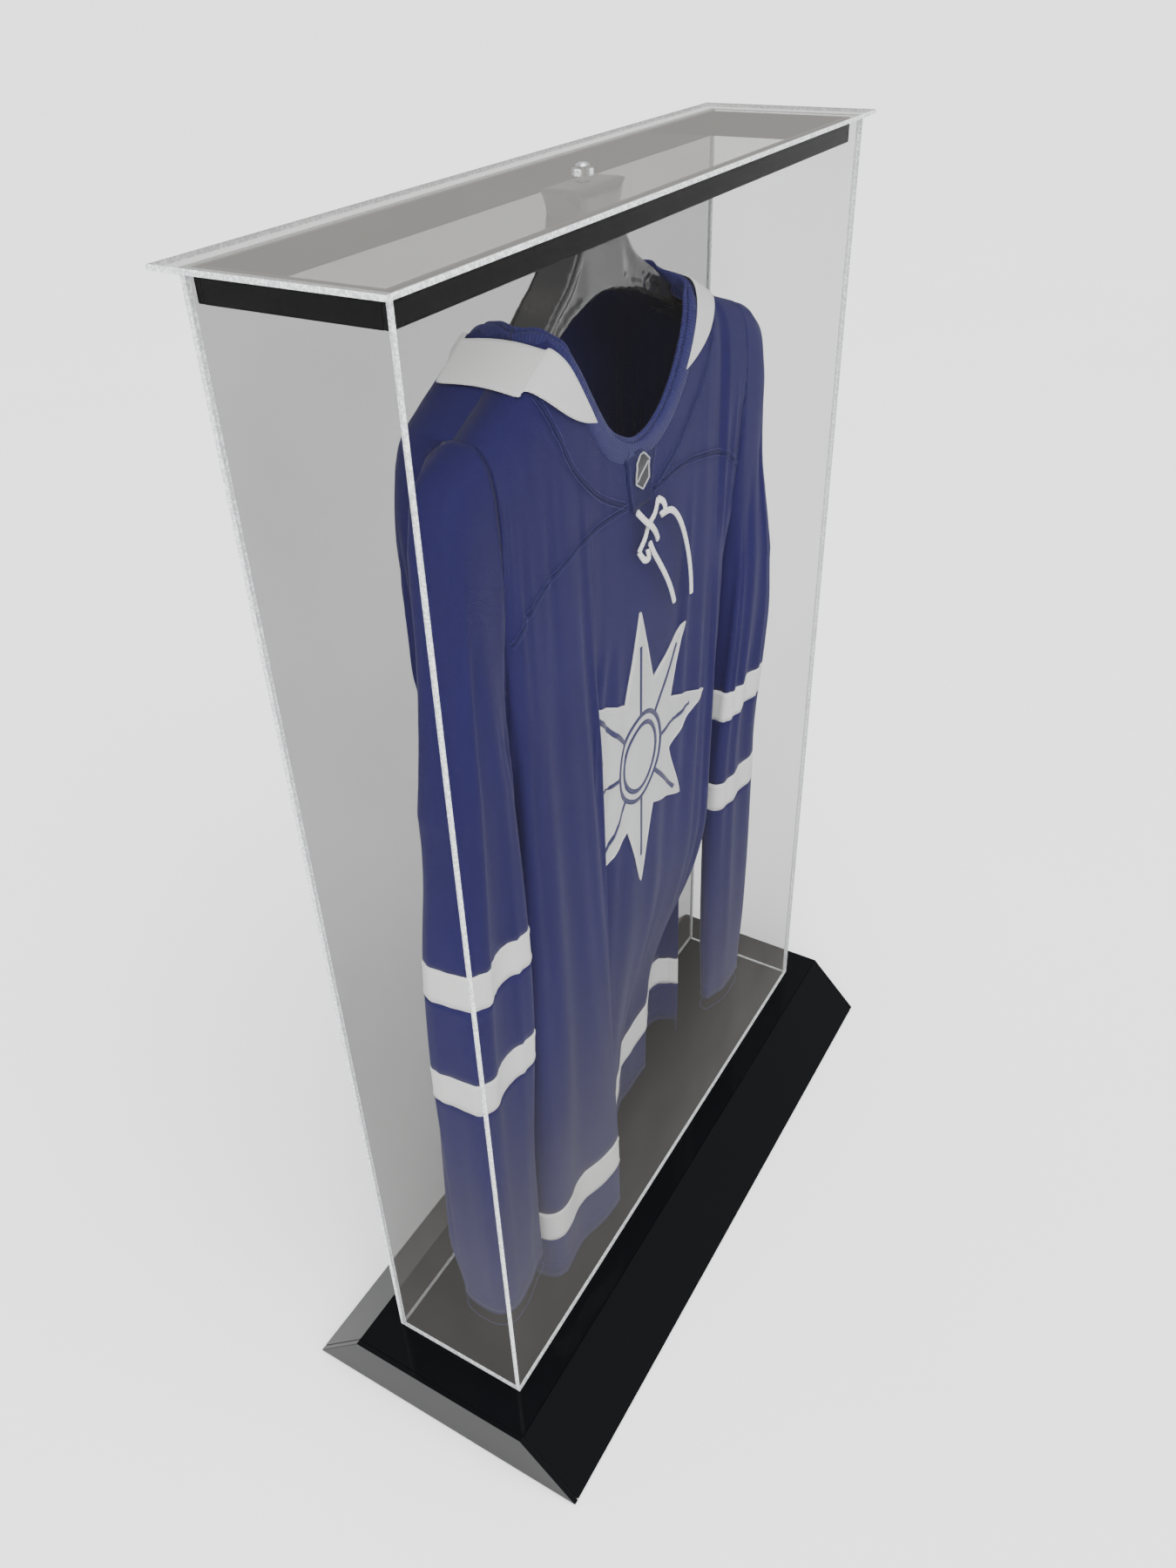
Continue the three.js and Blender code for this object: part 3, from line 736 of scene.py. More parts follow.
def panel(side):
    """Points of the front or back panel, as rows from the hem up and columns from the left."""
    plan = np.array(FRONT_PLAN if side == "front" else back_plan(), float) * MM
    weave = spline(np.eye(STATIONS), COLUMNS)
    top, middle, hem = (weave @ plan[:, k] for k in range(3))
    peak = cloth_top(top[:, 0], side)
    bands = [np.linspace(HEM_Z, HEM_STRIPE[0], ROWS["hem"] + 1)[:-1]]
    bands.append(np.linspace(*HEM_STRIPE, ROWS["stripe"] + 1)[:-1])
    low = np.concatenate(bands)[:, None] * np.ones(COLUMNS)
    climb = 1 - (1 - np.linspace(0, 1, ROWS["body"] + 1)) ** 1.3
    z = np.vstack([low, HEM_STRIPE[1] + climb[:, None] * (peak - HEM_STRIPE[1])])
    pleat = (1 - smooth_step(z, *CHEST_Z))[..., None]
    swing = (1 - smooth_step(z, *SWING_Z))[..., None]
    xy = top + pleat * (middle - top) + swing * (hem - middle)
    x, y = xy[..., 0], xy[..., 1]
    face = -1 if side == "front" else 1
    inner = np.minimum(np.arange(COLUMNS), np.arange(COLUMNS)[::-1]) / STEPS
    y = y + ripples(x, z, 3 if side == "front" else 8, 2.2 * MM) * np.clip(inner - 1, 0, 1)
    # Above the underarm the side seam opens into the armhole.
    opening = 1 - (1 - np.clip((z - UNDERARM_Z) / 0.07, 0, 1)) ** 2.4
    high_back = 34 * MM - 38 * MM * smooth_step(z, 0.72, 0.88)
    edge = -45 * MM if side == "front" else high_back
    seam = 2 * MM
    near = np.clip(1 - inner / 3.5, 0, 1)
    moved = y + (edge - seam) * opening * near
    limit = {"front": -47 * MM, "back": 45 * MM}[side]
    farthest = np.where(face * y > face * limit, y, limit)
    opened = face * np.minimum(face * moved, face * farthest)
    y = np.where(opening * near > 0, opened, y)
    # Near its top the cloth curls over to the ridge of the shoulder.
    crest = ridge_height(x)
    t = np.clip((z - (crest - 0.09)) / 0.09, 0, 1)
    curl = (1 - t**4) ** (1 / 4)
    middle_y = ridge_depth(x)
    y = middle_y + (y - middle_y) * curl
    return np.stack([x, y, z], -1)


front_grid = panel("front")
back_grid = panel("back")
LEVELS = front_grid.shape[0]
print("panel grids", front_grid.shape, back_grid.shape)

# %% [markdown]
# ## The moulded hanger
# The hanger is one thick plastic moulding: a short neck that meets the lid, and two broad arms that
# sweep down and forward, with a raised rim round their faces. Lofting along the arm would be hard
# where the neck flares, so its outline is filled, thickened and bevelled, and a voxel remesh turns
# that into an even skin. The skin is then bent forward and pressed in behind the rim.

# %% Hanger
# One half of its outline: (distance from the middle, drop below the top).
HANGER_HALF = [(32, 0), (25, 12), (29, 30), (44, 49), (64, 62), (86, 76), (142, 104), (186, 121), (207, 133)]
HANGER_HALF += [(208, 143), (197, 147), (142, 120), (86, 92), (43, 74)]
ARCH_DROP = 66
HANGER_THICKNESS = 29 * MM
RIM_WIDTH = 6 * MM
RIM_HEIGHT = 1.6 * MM


def evaluated_copy(work, name):
    """The mesh of an object with its modifiers applied; the object itself is removed."""
    graph = bpy.context.evaluated_depsgraph_get()
    mesh = bpy.data.meshes.new_from_object(work.evaluated_get(graph))
    mesh.name = name
    bpy.data.objects.remove(work)
    return mesh


def hanger_outline():
    half = spline(HANGER_HALF, 90)
    right = [(HANG_X + d * MM, HANGER_TOP - drop * MM) for d, drop in half]
    left = [(2 * HANG_X - x, z) for x, z in reversed(right)]
    arch = spline([right[-1], (HANG_X, HANGER_TOP - ARCH_DROP * MM), left[0]], 17)[1:-1]
    return np.array([*right, *map(tuple, arch), *left])


def make_hanger():
    outline = hanger_outline()
    count = len(outline)
    half = HANGER_THICKNESS / 2
    points = [(x, y, z) for y in (-half, half) for x, z in outline]
    faces = [tuple(range(count)), tuple(range(2 * count - 1, count - 1, -1))]
    faces += [(i, count + i, count + (i + 1) % count, (i + 1) % count) for i in range(count)]
    mesh = bpy.data.meshes.new("hanger_blank")
    mesh.from_pydata(points, [], faces)
    blank = bpy.data.objects.new("hanger_blank", mesh)
    bpy.context.scene.collection.objects.link(blank)
    face_out(blank)
    edges = blank.modifiers.new("edges", "BEVEL")
    edges.width = 4.5 * MM
    edges.segments = 3
    edges.limit_method = "ANGLE"
    edges.angle_limit = math.radians(60)
    skin = blank.modifiers.new("skin", "REMESH")
    skin.mode = "VOXEL"
    skin.voxel_size = 2.2 * MM
    polish = blank.modifiers.new("polish", "SMOOTH")
    polish.factor = 0.5
    polish.iterations = 5
    mesh = evaluated_copy(blank, "moulded_hanger")
    flat = np.array([v.co for v in mesh.vertices])
    away = np.min(np.linalg.norm(flat[:, None, ::2] - outline[None, ::2], axis=2), axis=1)
    share = (flat[:, 0] - HANG_X) / HALF_SPAN
    on_the_arm = smooth_step(np.abs(share), 0.1, 0.16)
    pressed = RIM_HEIGHT * smooth_step(away, RIM_WIDTH, RIM_WIDTH + 3 * MM) * on_the_arm
    taper = 1 - 0.45 * smooth_step(np.abs(share), 0.7, 1)
    flat[:, 1] *= (1 + 0.15 * np.abs(share)) * (1 - pressed / half) * taper
    flat[:, 1] += HANG_Y - ARM_SWEEP * share**2
    mesh.vertices.foreach_set("co", flat.ravel())
    mesh.materials.clear()
    mesh.materials.append(moulded_plastic())
    mesh.shade_smooth()
    piece = bpy.data.objects.new("moulded_hanger", mesh)
    bpy.context.scene.collection.objects.link(piece)
    return piece


def drill(piece, radius, bottom, top):
    """Cuts an upright round hole through the top of the hanger."""
    work = bmesh.new()
    place = Matrix.Translation((HANG_X, HANG_Y, (bottom + top) / 2))
    bmesh.ops.create_cone(
        work, cap_ends=True, segments=32, radius1=radius, radius2=radius, depth=top - bottom, matrix=place
    )
    mesh = bpy.data.meshes.new("drill")
    work.to_mesh(mesh)
    work.free()
    tool = bpy.data.objects.new("drill", mesh)
    bpy.context.scene.collection.objects.link(tool)
    cut = piece.modifiers.new("hole", "BOOLEAN")
    cut.operation = "DIFFERENCE"
    cut.object = tool
    cut.solver = "EXACT"
    graph = bpy.context.evaluated_depsgraph_get()
    piece.data = bpy.data.meshes.new_from_object(piece.evaluated_get(graph))
    piece.modifiers.clear()
    bpy.data.objects.remove(tool)


hanger = make_hanger()
insert_low, insert_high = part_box("threaded_insert")
drill(hanger, (insert_high.x - insert_low.x) / 2 + 0.3 * MM, screw_low.z - 2 * MM, HANGER_TOP + 5 * MM)
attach(hanger, "hanger")
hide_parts("hanger")
print("hanger", len(hanger.data.polygons), "faces")

# %% [markdown]
# ## Sleeves
# A sleeve leaves the armhole as an upright loop and ends as a level one. Between the two the loop
# turns like the ribs of a fan about the underarm, and rounds the shoulder as it goes. Below that it
# is a slack tube that hangs straight, pressed a little flat by the front panel.

# %% Sleeve rings
FAN = 16
HEAD_SHARE = 0.9
HEAD_BACK = 8 * MM
BOXY = 0.68
# The shoulder seen from in front: (distance out from the armhole, height above the underarm), mm.
SHOULDER = [(0, 197), (18, 194), (35, 185), (43, 168), (47, 142), (54, 100), (66, 50), (80, 0)]
LOW_SLANT = (4 * MM, 9 * MM)
LOW_FLAT = {"left": 1.0, "right": 0.4}
SLEEVE_ROWS = (20, 6, 11, 6, 36)
armhole_row = int(np.argmin(np.abs(front_grid[:, 0, 2] - UNDERARM_Z)))


def sleeve_levels(side):
    bands = ("_high_stripe", "_middle", "_low_stripe", "_cuff")
    edges = [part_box(f"sleeve_{side}{band}")[1].z for band in bands]
    return [*edges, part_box(f"sleeve_{side}_cuff")[0].z]


def shoulder_reach(angle, tall):
    """How far the shoulder is from the underarm at an angle away from upright."""
    outline = np.array(spline(SHOULDER, 80)) * (MM, tall / SHOULDER[0][1])
    turned = np.arctan2(outline[:, 0], outline[:, 1])
    return float(np.interp(angle, turned, np.linalg.norm(outline, axis=1)))


def sleeve(side, column):
    """Rings of a sleeve from just outside the armhole down to the cuff, each as many points."""
    sign = -1 if side == "left" else 1
    front = front_grid[armhole_row:, column]
    back = back_grid[armhole_row + 1 : -1, column][::-1]
    ring = np.vstack([front, back])
    count = len(ring)
    low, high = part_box(f"sleeve_{side}")
    centre_x, centre_y = (low.x + high.x) / 2, (low.y + high.y) / 2
    half_x, half_y = (high.x - low.x) / 2, (high.y - low.y) / 2
    pivot = ring[0]
    climb = ring[:, 2] - pivot[2]
    tall = climb.max()
    turn = 2 * math.pi * np.arange(count) / count
    across = np.sign(np.cos(turn)) * np.abs(np.cos(turn)) ** BOXY
    deep = np.sign(np.sin(turn)) * np.abs(np.sin(turn)) ** BOXY
    inner = abs(centre_x - pivot[0]) - half_x
    rings = []
    for j in range(1, FAN + 1):
        angle = 0.5 * math.pi * (j / FAN) ** 1.5
        mix = smooth_step(j / FAN, 0, 1)
        start = pivot + np.array([sign * inner * mix, 0, -25 * MM * j / FAN])
        radial = (1 - mix) * climb / tall + mix * (1 - across) / 2
        reach = shoulder_reach(angle, tall) - inner * mix * math.sin(angle)
        head_y = centre_y - HEAD_BACK / 2 - (half_y - HEAD_BACK / 2) * deep
        y = (1 - mix) * ring[:, 1] + mix * head_y
        x = start[0] + sign * math.sin(angle) * reach * radial
        z = start[2] + math.cos(angle) * reach * radial
        rings.append(np.stack([x, y, z], -1))
    levels = [rings[-1][0, 2], *sleeve_levels(side)]
    bands = zip(levels, levels[1:], SLEEVE_ROWS)
    heights = np.concatenate([np.linspace(above, below, n + 1)[1:] for above, below, n in bands])
    rng = np.random.default_rng(21 if side == "left" else 34)
    phases = rng.uniform(0, 2 * math.pi, 4)
    for z in heights:
        fall = (levels[0] - z) / (levels[0] - levels[-1])
        belly = 1 + 0.04 * math.sin(math.pi * min(fall * 1.3, 1)) - 0.16 * smooth_step(fall, 0.82, 1)
        fold = 0.05 * np.sin(3 * turn + phases[0] + 3 * fall) + 0.03 * np.sin(5 * turn + phases[1] - 4 * fall)
        crease = 0.05 * math.sin(9 * fall + phases[2]) * np.sin(2 * turn + phases[3])
        size = 1 + (fold + crease) * smooth_step(fall, 0, 0.12)
        slack = smooth_step(fall, 0, 0.25)
        half = half_x * (HEAD_SHARE + (1 - HEAD_SHARE) * slack)
        shy = HEAD_BACK / 2 * (1 - slack)
        slant = smooth_step(fall, 0.1, 0.8) - 0.5 * smooth_step(fall, 0.85, 1)
        middle = pivot[0] + sign * (inner + half)
        out, back_by = (LOW_SLANT if side == "left" else (0, 0))
        x = middle - sign * half * belly * size * across + sign * out * slant
        flat = 1 + (LOW_FLAT[side] - 1) * smooth_step(fall, 0.05, 0.4)
        y = centre_y - shy - (half_y - shy) * flat * min(belly, 1.0) * size * deep + back_by * slant
        rings.append(np.stack([x, y, np.full(count, z)], -1))
    return np.array(rings)


sleeves = {"left": sleeve("left", 0), "right": sleeve("right", -1)}
print("sleeve rings", {k: v.shape for k, v in sleeves.items()})

# %% [markdown]
# ## One shell, then gravity
# Front, back and sleeves are sewn into one shell by sharing the points of their seams. Blender's
# cloth then pulls on it: the shoulders are pinned hard to the hanger, everything else is held only
# weakly to the drawn shape, so small wrinkles form where the cloth has slack. A cap on how far a
# point may move keeps the jersey inside its place in the case.

# %% Sew the shell
shell_points = []


def number(points):
    start = len(shell_points)
    shell_points.extend(points.reshape(-1, 3))
    return np.arange(start, start + points[..., 0].size).reshape(points.shape[:-1])


front_index = number(front_grid)
back_index = number(back_grid)
for edge in (0, -1):
    back_index[: armhole_row + 1, edge] = front_index[: armhole_row + 1, edge]
outside_neck = np.abs(front_grid[-1, :, 0] - HANG_X) >= NECK_HALF
back_index[-1, outside_neck] = front_index[-1, outside_neck]
sleeve_index = {}
for side, column in (("left", 0), ("right", -1)):
    down_the_back = back_index[armhole_row + 1 : -1, column][::-1]
    first = np.concatenate([front_index[armhole_row:, column], down_the_back])
    sleeve_index[side] = np.vstack([first[None], number(sleeves[side])])


def quads(index, closed, flip):
    """Quads of an index grid, rows by columns."""
    right = np.roll(index, -1, 1) if closed else index[:, 1:]
    left = index if closed else index[:, :-1]
    faces = np.stack([left[:-1], right[:-1], right[1:], left[1:]], -1).reshape(-1, 4)
    return faces[:, ::-1] if flip else faces


hem_rows, stripe_rows = ROWS["hem"], ROWS["hem"] + ROWS["stripe"]
parts = {}
for side, index, flip in (("front", front_index, False), ("back", back_index, True)):
    parts[side] = quads(index[stripe_rows:], False, flip)
    parts[side + "_hem_stripe"] = quads(index[hem_rows : stripe_rows + 1], False, flip)
    parts[side + "_hem"] = quads(index[: hem_rows + 1], False, flip)
cuts = np.cumsum((FAN + SLEEVE_ROWS[0],) + SLEEVE_ROWS[1:])
for side, index in sleeve_index.items():
    start = 0
    for band, stop in zip(("", "_high_stripe", "_middle", "_low_stripe", "_cuff"), cuts):
        parts[f"sleeve_{side}{band}"] = quads(index[start : stop + 1], True, side == "left")
        start = stop
shell_points = np.array(shell_points)
shell_faces = np.concatenate(list(parts.values()))
print(len(shell_points), "points and", len(shell_faces), "faces in the shell")

# %% Let it settle
SETTLE_FRAMES = 22
MOST_MOVE = 9 * MM


def settle(points, faces):
    mesh = bpy.data.meshes.new("settling")
    mesh.from_pydata([tuple(p) for p in points], [], [tuple(int(i) for i in f) for f in faces])
    shell = bpy.data.objects.new("settling", mesh)
    bpy.context.scene.collection.objects.link(shell)
    hold = shell.vertex_groups.new(name="hold")
    ridge = ridge_height(points[:, 0])
    strength = 0.10 + 0.9 * smooth_step(points[:, 2], ridge - 0.10, ridge - 0.03)
    for i, weight in enumerate(strength):
        hold.add([i], float(weight), "REPLACE")
    cloth = shell.modifiers.new("cloth", "CLOTH")
    cloth.settings.quality = 5
    cloth.settings.mass = 0.25
    cloth.settings.tension_stiffness = 12
    cloth.settings.compression_stiffness = 12
    cloth.settings.shear_stiffness = 4
    cloth.settings.bending_stiffness = 0.15
    cloth.settings.vertex_group_mass = "hold"
    cloth.settings.pin_stiffness = 0.6
    cloth.settings.shrink_min = -0.03
    cloth.point_cache.frame_start = 1
    cloth.point_cache.frame_end = SETTLE_FRAMES
    for step in range(1, SETTLE_FRAMES + 1):
        bpy.context.scene.frame_set(step)
    seen = shell.evaluated_get(bpy.context.evaluated_depsgraph_get())
    moved = np.empty(len(points) * 3)
    seen.data.vertices.foreach_get("co", moved)
    moved = moved.reshape(-1, 3) - points
    bpy.data.objects.remove(shell)
    bpy.context.scene.frame_set(1)
    length = np.linalg.norm(moved, axis=1, keepdims=True)
    print("settling moved points by", round(float(length.mean()) * 1000, 2), "mm on average")
    return points + moved * np.minimum(1, MOST_MOVE / np.maximum(length, 1e-9))


HANGER_GAP = 4 * MM


def off_the_hanger(points):
    """Cloth that gravity or the drawing left inside the hanger is moved out to just clear of it."""
    graph = bpy.context.evaluated_depsgraph_get()
    solid = BVHTree.FromObject(hanger, graph)
    push = np.zeros_like(points)
    for i, point in enumerate(points):
        place, normal, _, distance = solid.find_nearest(Vector(point), 20 * MM)
        if place is None:
            continue
        inside = (Vector(point) - place).dot(normal) < 0
        need = HANGER_GAP + distance if inside else HANGER_GAP - distance
        if need > 0:
            push[i] = np.array(normal) * need
    print("moved", int((push != 0).any(1).sum()), "points off the hanger")
    return points + push


drawn_points = shell_points.copy()
shell_points = settle(shell_points, shell_faces)
shell_points = off_the_hanger(shell_points)

# %% [markdown]
# ## Cutting the shell into its cloths
# The real jersey is many pieces of knit. Each becomes a mesh of its own, with a thickness, and the
# map that the knit follows is measured along the cloth from its left edge and up from its hem.

# %% Cloth pieces
KNIT_THICKNESS = 1.5 * MM


def measured(points):
    """Metres along each row and up each column of a grid of points."""
    across = np.linalg.norm(np.diff(points, axis=1), axis=2)
    up = np.linalg.norm(np.diff(points, axis=0), axis=2)
    across = np.hstack([np.zeros((len(points), 1)), np.cumsum(across, 1)])
    up = np.vstack([np.zeros((1, points.shape[1])), np.cumsum(up, 0)])
    across = np.broadcast_to(across.mean(0), across.shape)
    up = np.broadcast_to(up.mean(1)[:, None], up.shape)
    return np.stack([across, up], -1)


shell_map = np.zeros((len(shell_points), 2))
for index in (back_index, front_index, *sleeve_index.values()):
    shell_map[index] = measured(shell_points[index])


def facing(faces, towards):
    """The faces turned round if they look away from the direction they should on average."""
    corners = shell_points[faces]
    normals = np.cross(corners[:, 2] - corners[:, 0], corners[:, 3] - corners[:, 1])
    return faces if (normals * towards(corners.mean(1))).sum() > 0 else faces[:, ::-1]


def cloth_piece(name, faces, material, slot, thickness=KNIT_THICKNESS):
    used, local = np.unique(faces, return_inverse=True)
    local = local.reshape(faces.shape)
    piece = make_piece(name, shell_points[used], local, material, "hanger", shell_map[used])
    wall = piece.modifiers.new("thickness", "SOLIDIFY")
    wall.thickness = thickness
    wall.offset = 0.0
    wall.use_rim = True
    return piece


OUTWARD = {"front": lambda c: np.array([0, -1, 0]), "back": lambda c: np.array([0, 1, 0])}
for side in ("left", "right"):
    low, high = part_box(f"sleeve_{side}")
    axis = np.array([(low.x + high.x) / 2, (low.y + high.y) / 2, 0])
    OUTWARD[side] = lambda c, axis=axis: (c - axis) * (1, 1, 0)
cloths = {}
for name, faces in parts.items():
    key = name.split("_")[1] if name.startswith("sleeve") else name.split("_")[0]
    parts[name] = faces = facing(faces, OUTWARD[key])
    white = name.endswith("stripe")
    made = (white_knit, "white_knit", 2.0 * MM) if white else (blue_knit, "blue_knit", KNIT_THICKNESS)
    piece = cloth_piece(name + "_cloth", faces, *made)
    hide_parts(name if name.startswith("sleeve") else "jersey_" + name)
    cloths[name] = piece
print("cloth pieces", len(cloths))

# %% [markdown]
# ## Laying trim on cloth
# Trim is sewn to cloth that has already folded, so its points are found on the cloth itself: each is
# dropped onto the nearest place, then lifted along the cloth's normal by its own thickness. A search
# tree over the cloth's faces makes that quick.

# %% Search trees


def tree_of(faces):
    return BVHTree.FromPolygons([tuple(p) for p in shell_points], [tuple(int(i) for i in f) for f in faces])


pleat_column = 12 * STEPS
crest_faces = parts["front"].reshape(-1, COLUMNS - 1, 4)[:, pleat_column:].reshape(-1, 4)
cloth_trees = {
    "front": tree_of(parts["front"]),
    "back": tree_of(parts["back"]),
    "crest": tree_of(crest_faces),
    "both": tree_of(np.concatenate([parts["front"], parts["back"]])),
    "shell": tree_of(np.concatenate(list(parts.values()))),
}


def lay_on(tree, points, lift):
    """The nearest places on the cloth, lifted off it, and the cloth's normals there."""
    found = [cloth_trees[tree].find_nearest(Vector(p)) for p in points]
    normals = np.array([hit[1] for hit in found])
    return np.array([hit[0] for hit in found]) + lift * normals, normals


def front_drop(points_xz, lift, tree="front"):
    """Points given as x and z, dropped onto the front cloth; None where the cloth isn't there."""
    out = []
    for x, z in points_xz:
        place, normal, _, _ = cloth_trees[tree].ray_cast(Vector((x, -0.2, z)), Vector((0, 1, 0)))
        out.append(None if place is None else (np.array(place + normal * lift), np.array(normal)))
    return out


def thicken(piece, thickness, offset=1.0):
    wall = piece.modifiers.new("thickness", "SOLIDIFY")
    wall.thickness = thickness
    wall.offset = offset
    return piece


# %% Neckline
inside = np.flatnonzero(~outside_neck)
inside = np.arange(inside[0] - 1, inside[-1] + 2)


def neck_edge(index, columns):
    top = shell_points[index[-1, columns]]
    below = shell_points[index[-4, columns]]
    return top, unit(top - below)


front_edge, front_up = neck_edge(front_index, inside)
back_edge, back_up = neck_edge(back_index, inside[::-1][1:-1])
neck_path = np.vstack([front_edge, back_edge])
neck_up = np.vstack([front_up, back_up])


def smooth_loop(values, rounds):
    for _ in range(rounds):
        values = (np.roll(values, 1, 0) + 2 * values + np.roll(values, -1, 0)) / 4
    return values


def even_loop(values, places, count):
    """A closed loop of values taken at even distances along it."""
    closed = np.vstack([values, values[:1]])
    goal = np.linspace(0, places[-1], count, endpoint=False)
    return np.stack([np.interp(goal, places, closed[:, k]) for k in range(3)], -1)


neck_run = run_of(np.vstack([neck_path, neck_path[:1]]))
NECK_STEPS = 260
front_share = neck_run[len(front_edge) - 1] / neck_run[-1]
neck_path, neck_up = (even_loop(v, neck_run, NECK_STEPS) for v in (neck_path, neck_up))
neck_path = smooth_loop(neck_path, 6)
neck_up = unit(smooth_loop(neck_up, 14))
neck_along = heading(neck_path, True)
neck_up = unit(neck_up - (neck_up * neck_along).sum(1, keepdims=True) * neck_along)
neck_out = np.cross(neck_along, neck_up)
neck_middle = neck_path.mean(0)
if ((neck_out * (neck_path - neck_middle) * (1, 1, 0)).sum()) < 0:
    neck_out = -neck_out
print("neckline", round(float(neck_run[-1]), 3), "m round")

# %% [markdown]
# ## Collar, white inserts and placket
# The collar is a doubled band of rib knit that wraps the raw neckline, so it is a rounded strip swept
# round the loop, with a second, narrower roll standing up inside it. White panels are let in on both
# shoulders, and a small placket closes the front under a woven badge.

# %% Collar


def band_round_neck(name, half_width, half_thick, rise, out, material, sides=14):
    turn = 2 * math.pi * np.arange(sides) / sides
    wide = np.sign(np.cos(turn)) * np.abs(np.cos(turn)) ** 0.6 * half_width + rise
    thick = np.sin(turn) * half_thick + out
    rings = neck_path[:, None] + wide[None, :, None] * neck_up[:, None]
    rings = rings + thick[None, :, None] * neck_out[:, None]
    along = np.linspace(0, neck_run[-1], NECK_STEPS)[:, None] * np.ones(sides)
    uv = np.stack([along, wide[None] * np.ones((NECK_STEPS, 1))], -1).reshape(-1, 2)
    faces = tube_faces(NECK_STEPS, sides, True)
    piece = make_piece(name, rings.reshape(-1, 3), faces, material, "hanger", uv)
    face_out(piece)
    return piece


collar = band_round_neck("collar_binding", 8 * MM, 2.4 * MM, -4 * MM, 0.4 * MM, blue_rib)
band_round_neck("collar_roll", 4.5 * MM, 1.8 * MM, 2.5 * MM, -2.4 * MM, blue_rib)
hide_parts("collar_front", "collar_back")

# %% Shoulder inserts
INSERT_REACH = {"front": 84 * MM, "back": 52 * MM}
INSERT_WIDTH = 40 * MM
INSERT_LIFT = 3.0 * MM
INSERT_LANES = 15
OVER_RIDGE = 3


def cloth_at(x, z, side):
    """Where a level line of sight from in front, or from behind, meets the cloth at a height."""
    y, towards = (-0.2, 1) if side == "front" else (0.2, -1)
    z = min(z, float(ridge_height(x)) - 4 * MM)
    place, normal, _, _ = cloth_trees[side].ray_cast(Vector((x, y, z)), Vector((0, towards, 0)))
    if place is None:
        place, normal, _, _ = cloth_trees[side].find_nearest(Vector((x, 0, z)))
    return np.array(place), np.array(normal)


def make_insert(side):
    sign = -1 if side == "left" else 1
    corner = 0 if side == "left" else round(front_share * NECK_STEPS)
    step = neck_run[-1] / NECK_STEPS
    spots = np.arange(-round(INSERT_REACH["back"] / step), round(INSERT_REACH["front"] / step) + 1)
    loop = (corner - sign * spots) % NECK_STEPS
    reach = np.where(spots < 0, INSERT_REACH["back"], INSERT_REACH["front"])
    width = INSERT_WIDTH * (1 - (np.abs(spots) * step / reach) ** 1.6)
    lanes = np.linspace(0, 1, INSERT_LANES)
    fan_centre = np.array([HANG_X, neck_path[corner, 2] + 45 * MM])
    goals = np.empty((len(spots), INSERT_LANES, 2))
    for k in range(len(spots)):
        start = neck_path[loop[k], ::2]
        goals[k] = start + unit(start - fan_centre) * (5 * MM + lanes[:, None] * width[k])
    for _ in range(8):
        goals[1:-1] = (goals[:-2] + 2 * goals[1:-1] + goals[2:]) / 4
    places, normals = [], []
    for k, spot in enumerate(spots):
        for x, z in goals[k]:
            place, normal = cloth_at(x, z, "back" if spot < 0 else "front")
            places.append(place)
            normals.append(normal)
    shape = (len(spots), INSERT_LANES, 3)
    places, normals = np.array(places).reshape(shape), np.array(normals).reshape(shape)
    ridge = int(np.flatnonzero(spots == 0)[0])
    first, last = ridge - OVER_RIDGE, ridge + OVER_RIDGE
    for k in range(first + 1, last):
        share = (k - first) / (last - first)
        for lane in range(INSERT_LANES):
            x, y, _ = places[first, lane] + share * (places[last, lane] - places[first, lane])
            place, normal, _, _ = cloth_trees["both"].ray_cast(Vector((x, y, 1.2)), Vector((0, 0, -1)))
            if place is not None:
                places[k, lane], normals[k, lane] = place, normal
    normals[1:-1] = unit(normals[:-2] + 2 * normals[1:-1] + normals[2:])
    laid = places + INSERT_LIFT * normals
    for _ in range(3):
        laid[1:-1] = (laid[:-2] + 2 * laid[1:-1] + laid[2:]) / 4
    faces = grid_faces(len(spots), INSERT_LANES)
    uv = np.stack(np.meshgrid(spots * step, lanes * INSERT_WIDTH, indexing="ij"), -1).reshape(-1, 2)
    name = f"shoulder_insert_{side}"
    piece = make_piece(name, laid.reshape(-1, 3), faces, white_knit, "hanger", uv)
    thicken(piece, 1.0 * MM, 0.0)
    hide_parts(f"neck_insert_{side}", f"shoulder_{side}")
    return piece, laid[:, -1]


inserts = {side: make_insert(side) for side in ("left", "right")}
print("inserts", [p[0].name for p in inserts.values()])

# %% Placket, badge and label
placket_low, placket_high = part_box("neck_placket")
badge_low, badge_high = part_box("neck_patch")
label_low, label_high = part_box("size_label")
PLACKET_X = (placket_low.x + placket_high.x) / 2


def laid_grid(name, across, up, tree, lift, material, narrowing=0.0, direction=-1):
    """A flat patch of cloth, wide at its top if narrowing is set, laid on the cloth below it."""
    columns, rows = 15, 11
    low, high = up
    points = []
    for r in range(rows):
        share = r / (rows - 1)
        for c in range(columns):
            x = across[0] + (across[1] - across[0]) * c / (columns - 1)
            middle = (across[0] + across[1]) / 2
            x = middle + (x - middle) * (1 - narrowing * (1 - share))
            points.append((x, direction * 0.05, low + (high - low) * share))
    laid, _ = lay_on(tree, points, lift)
    faces = grid_faces(rows, columns)
    piece = make_piece(name, laid, faces, material, "hanger", np.array(points)[:, ::2])
    return thicken(piece, 0.9 * MM, 0.0), laid.reshape(rows, columns, 3)


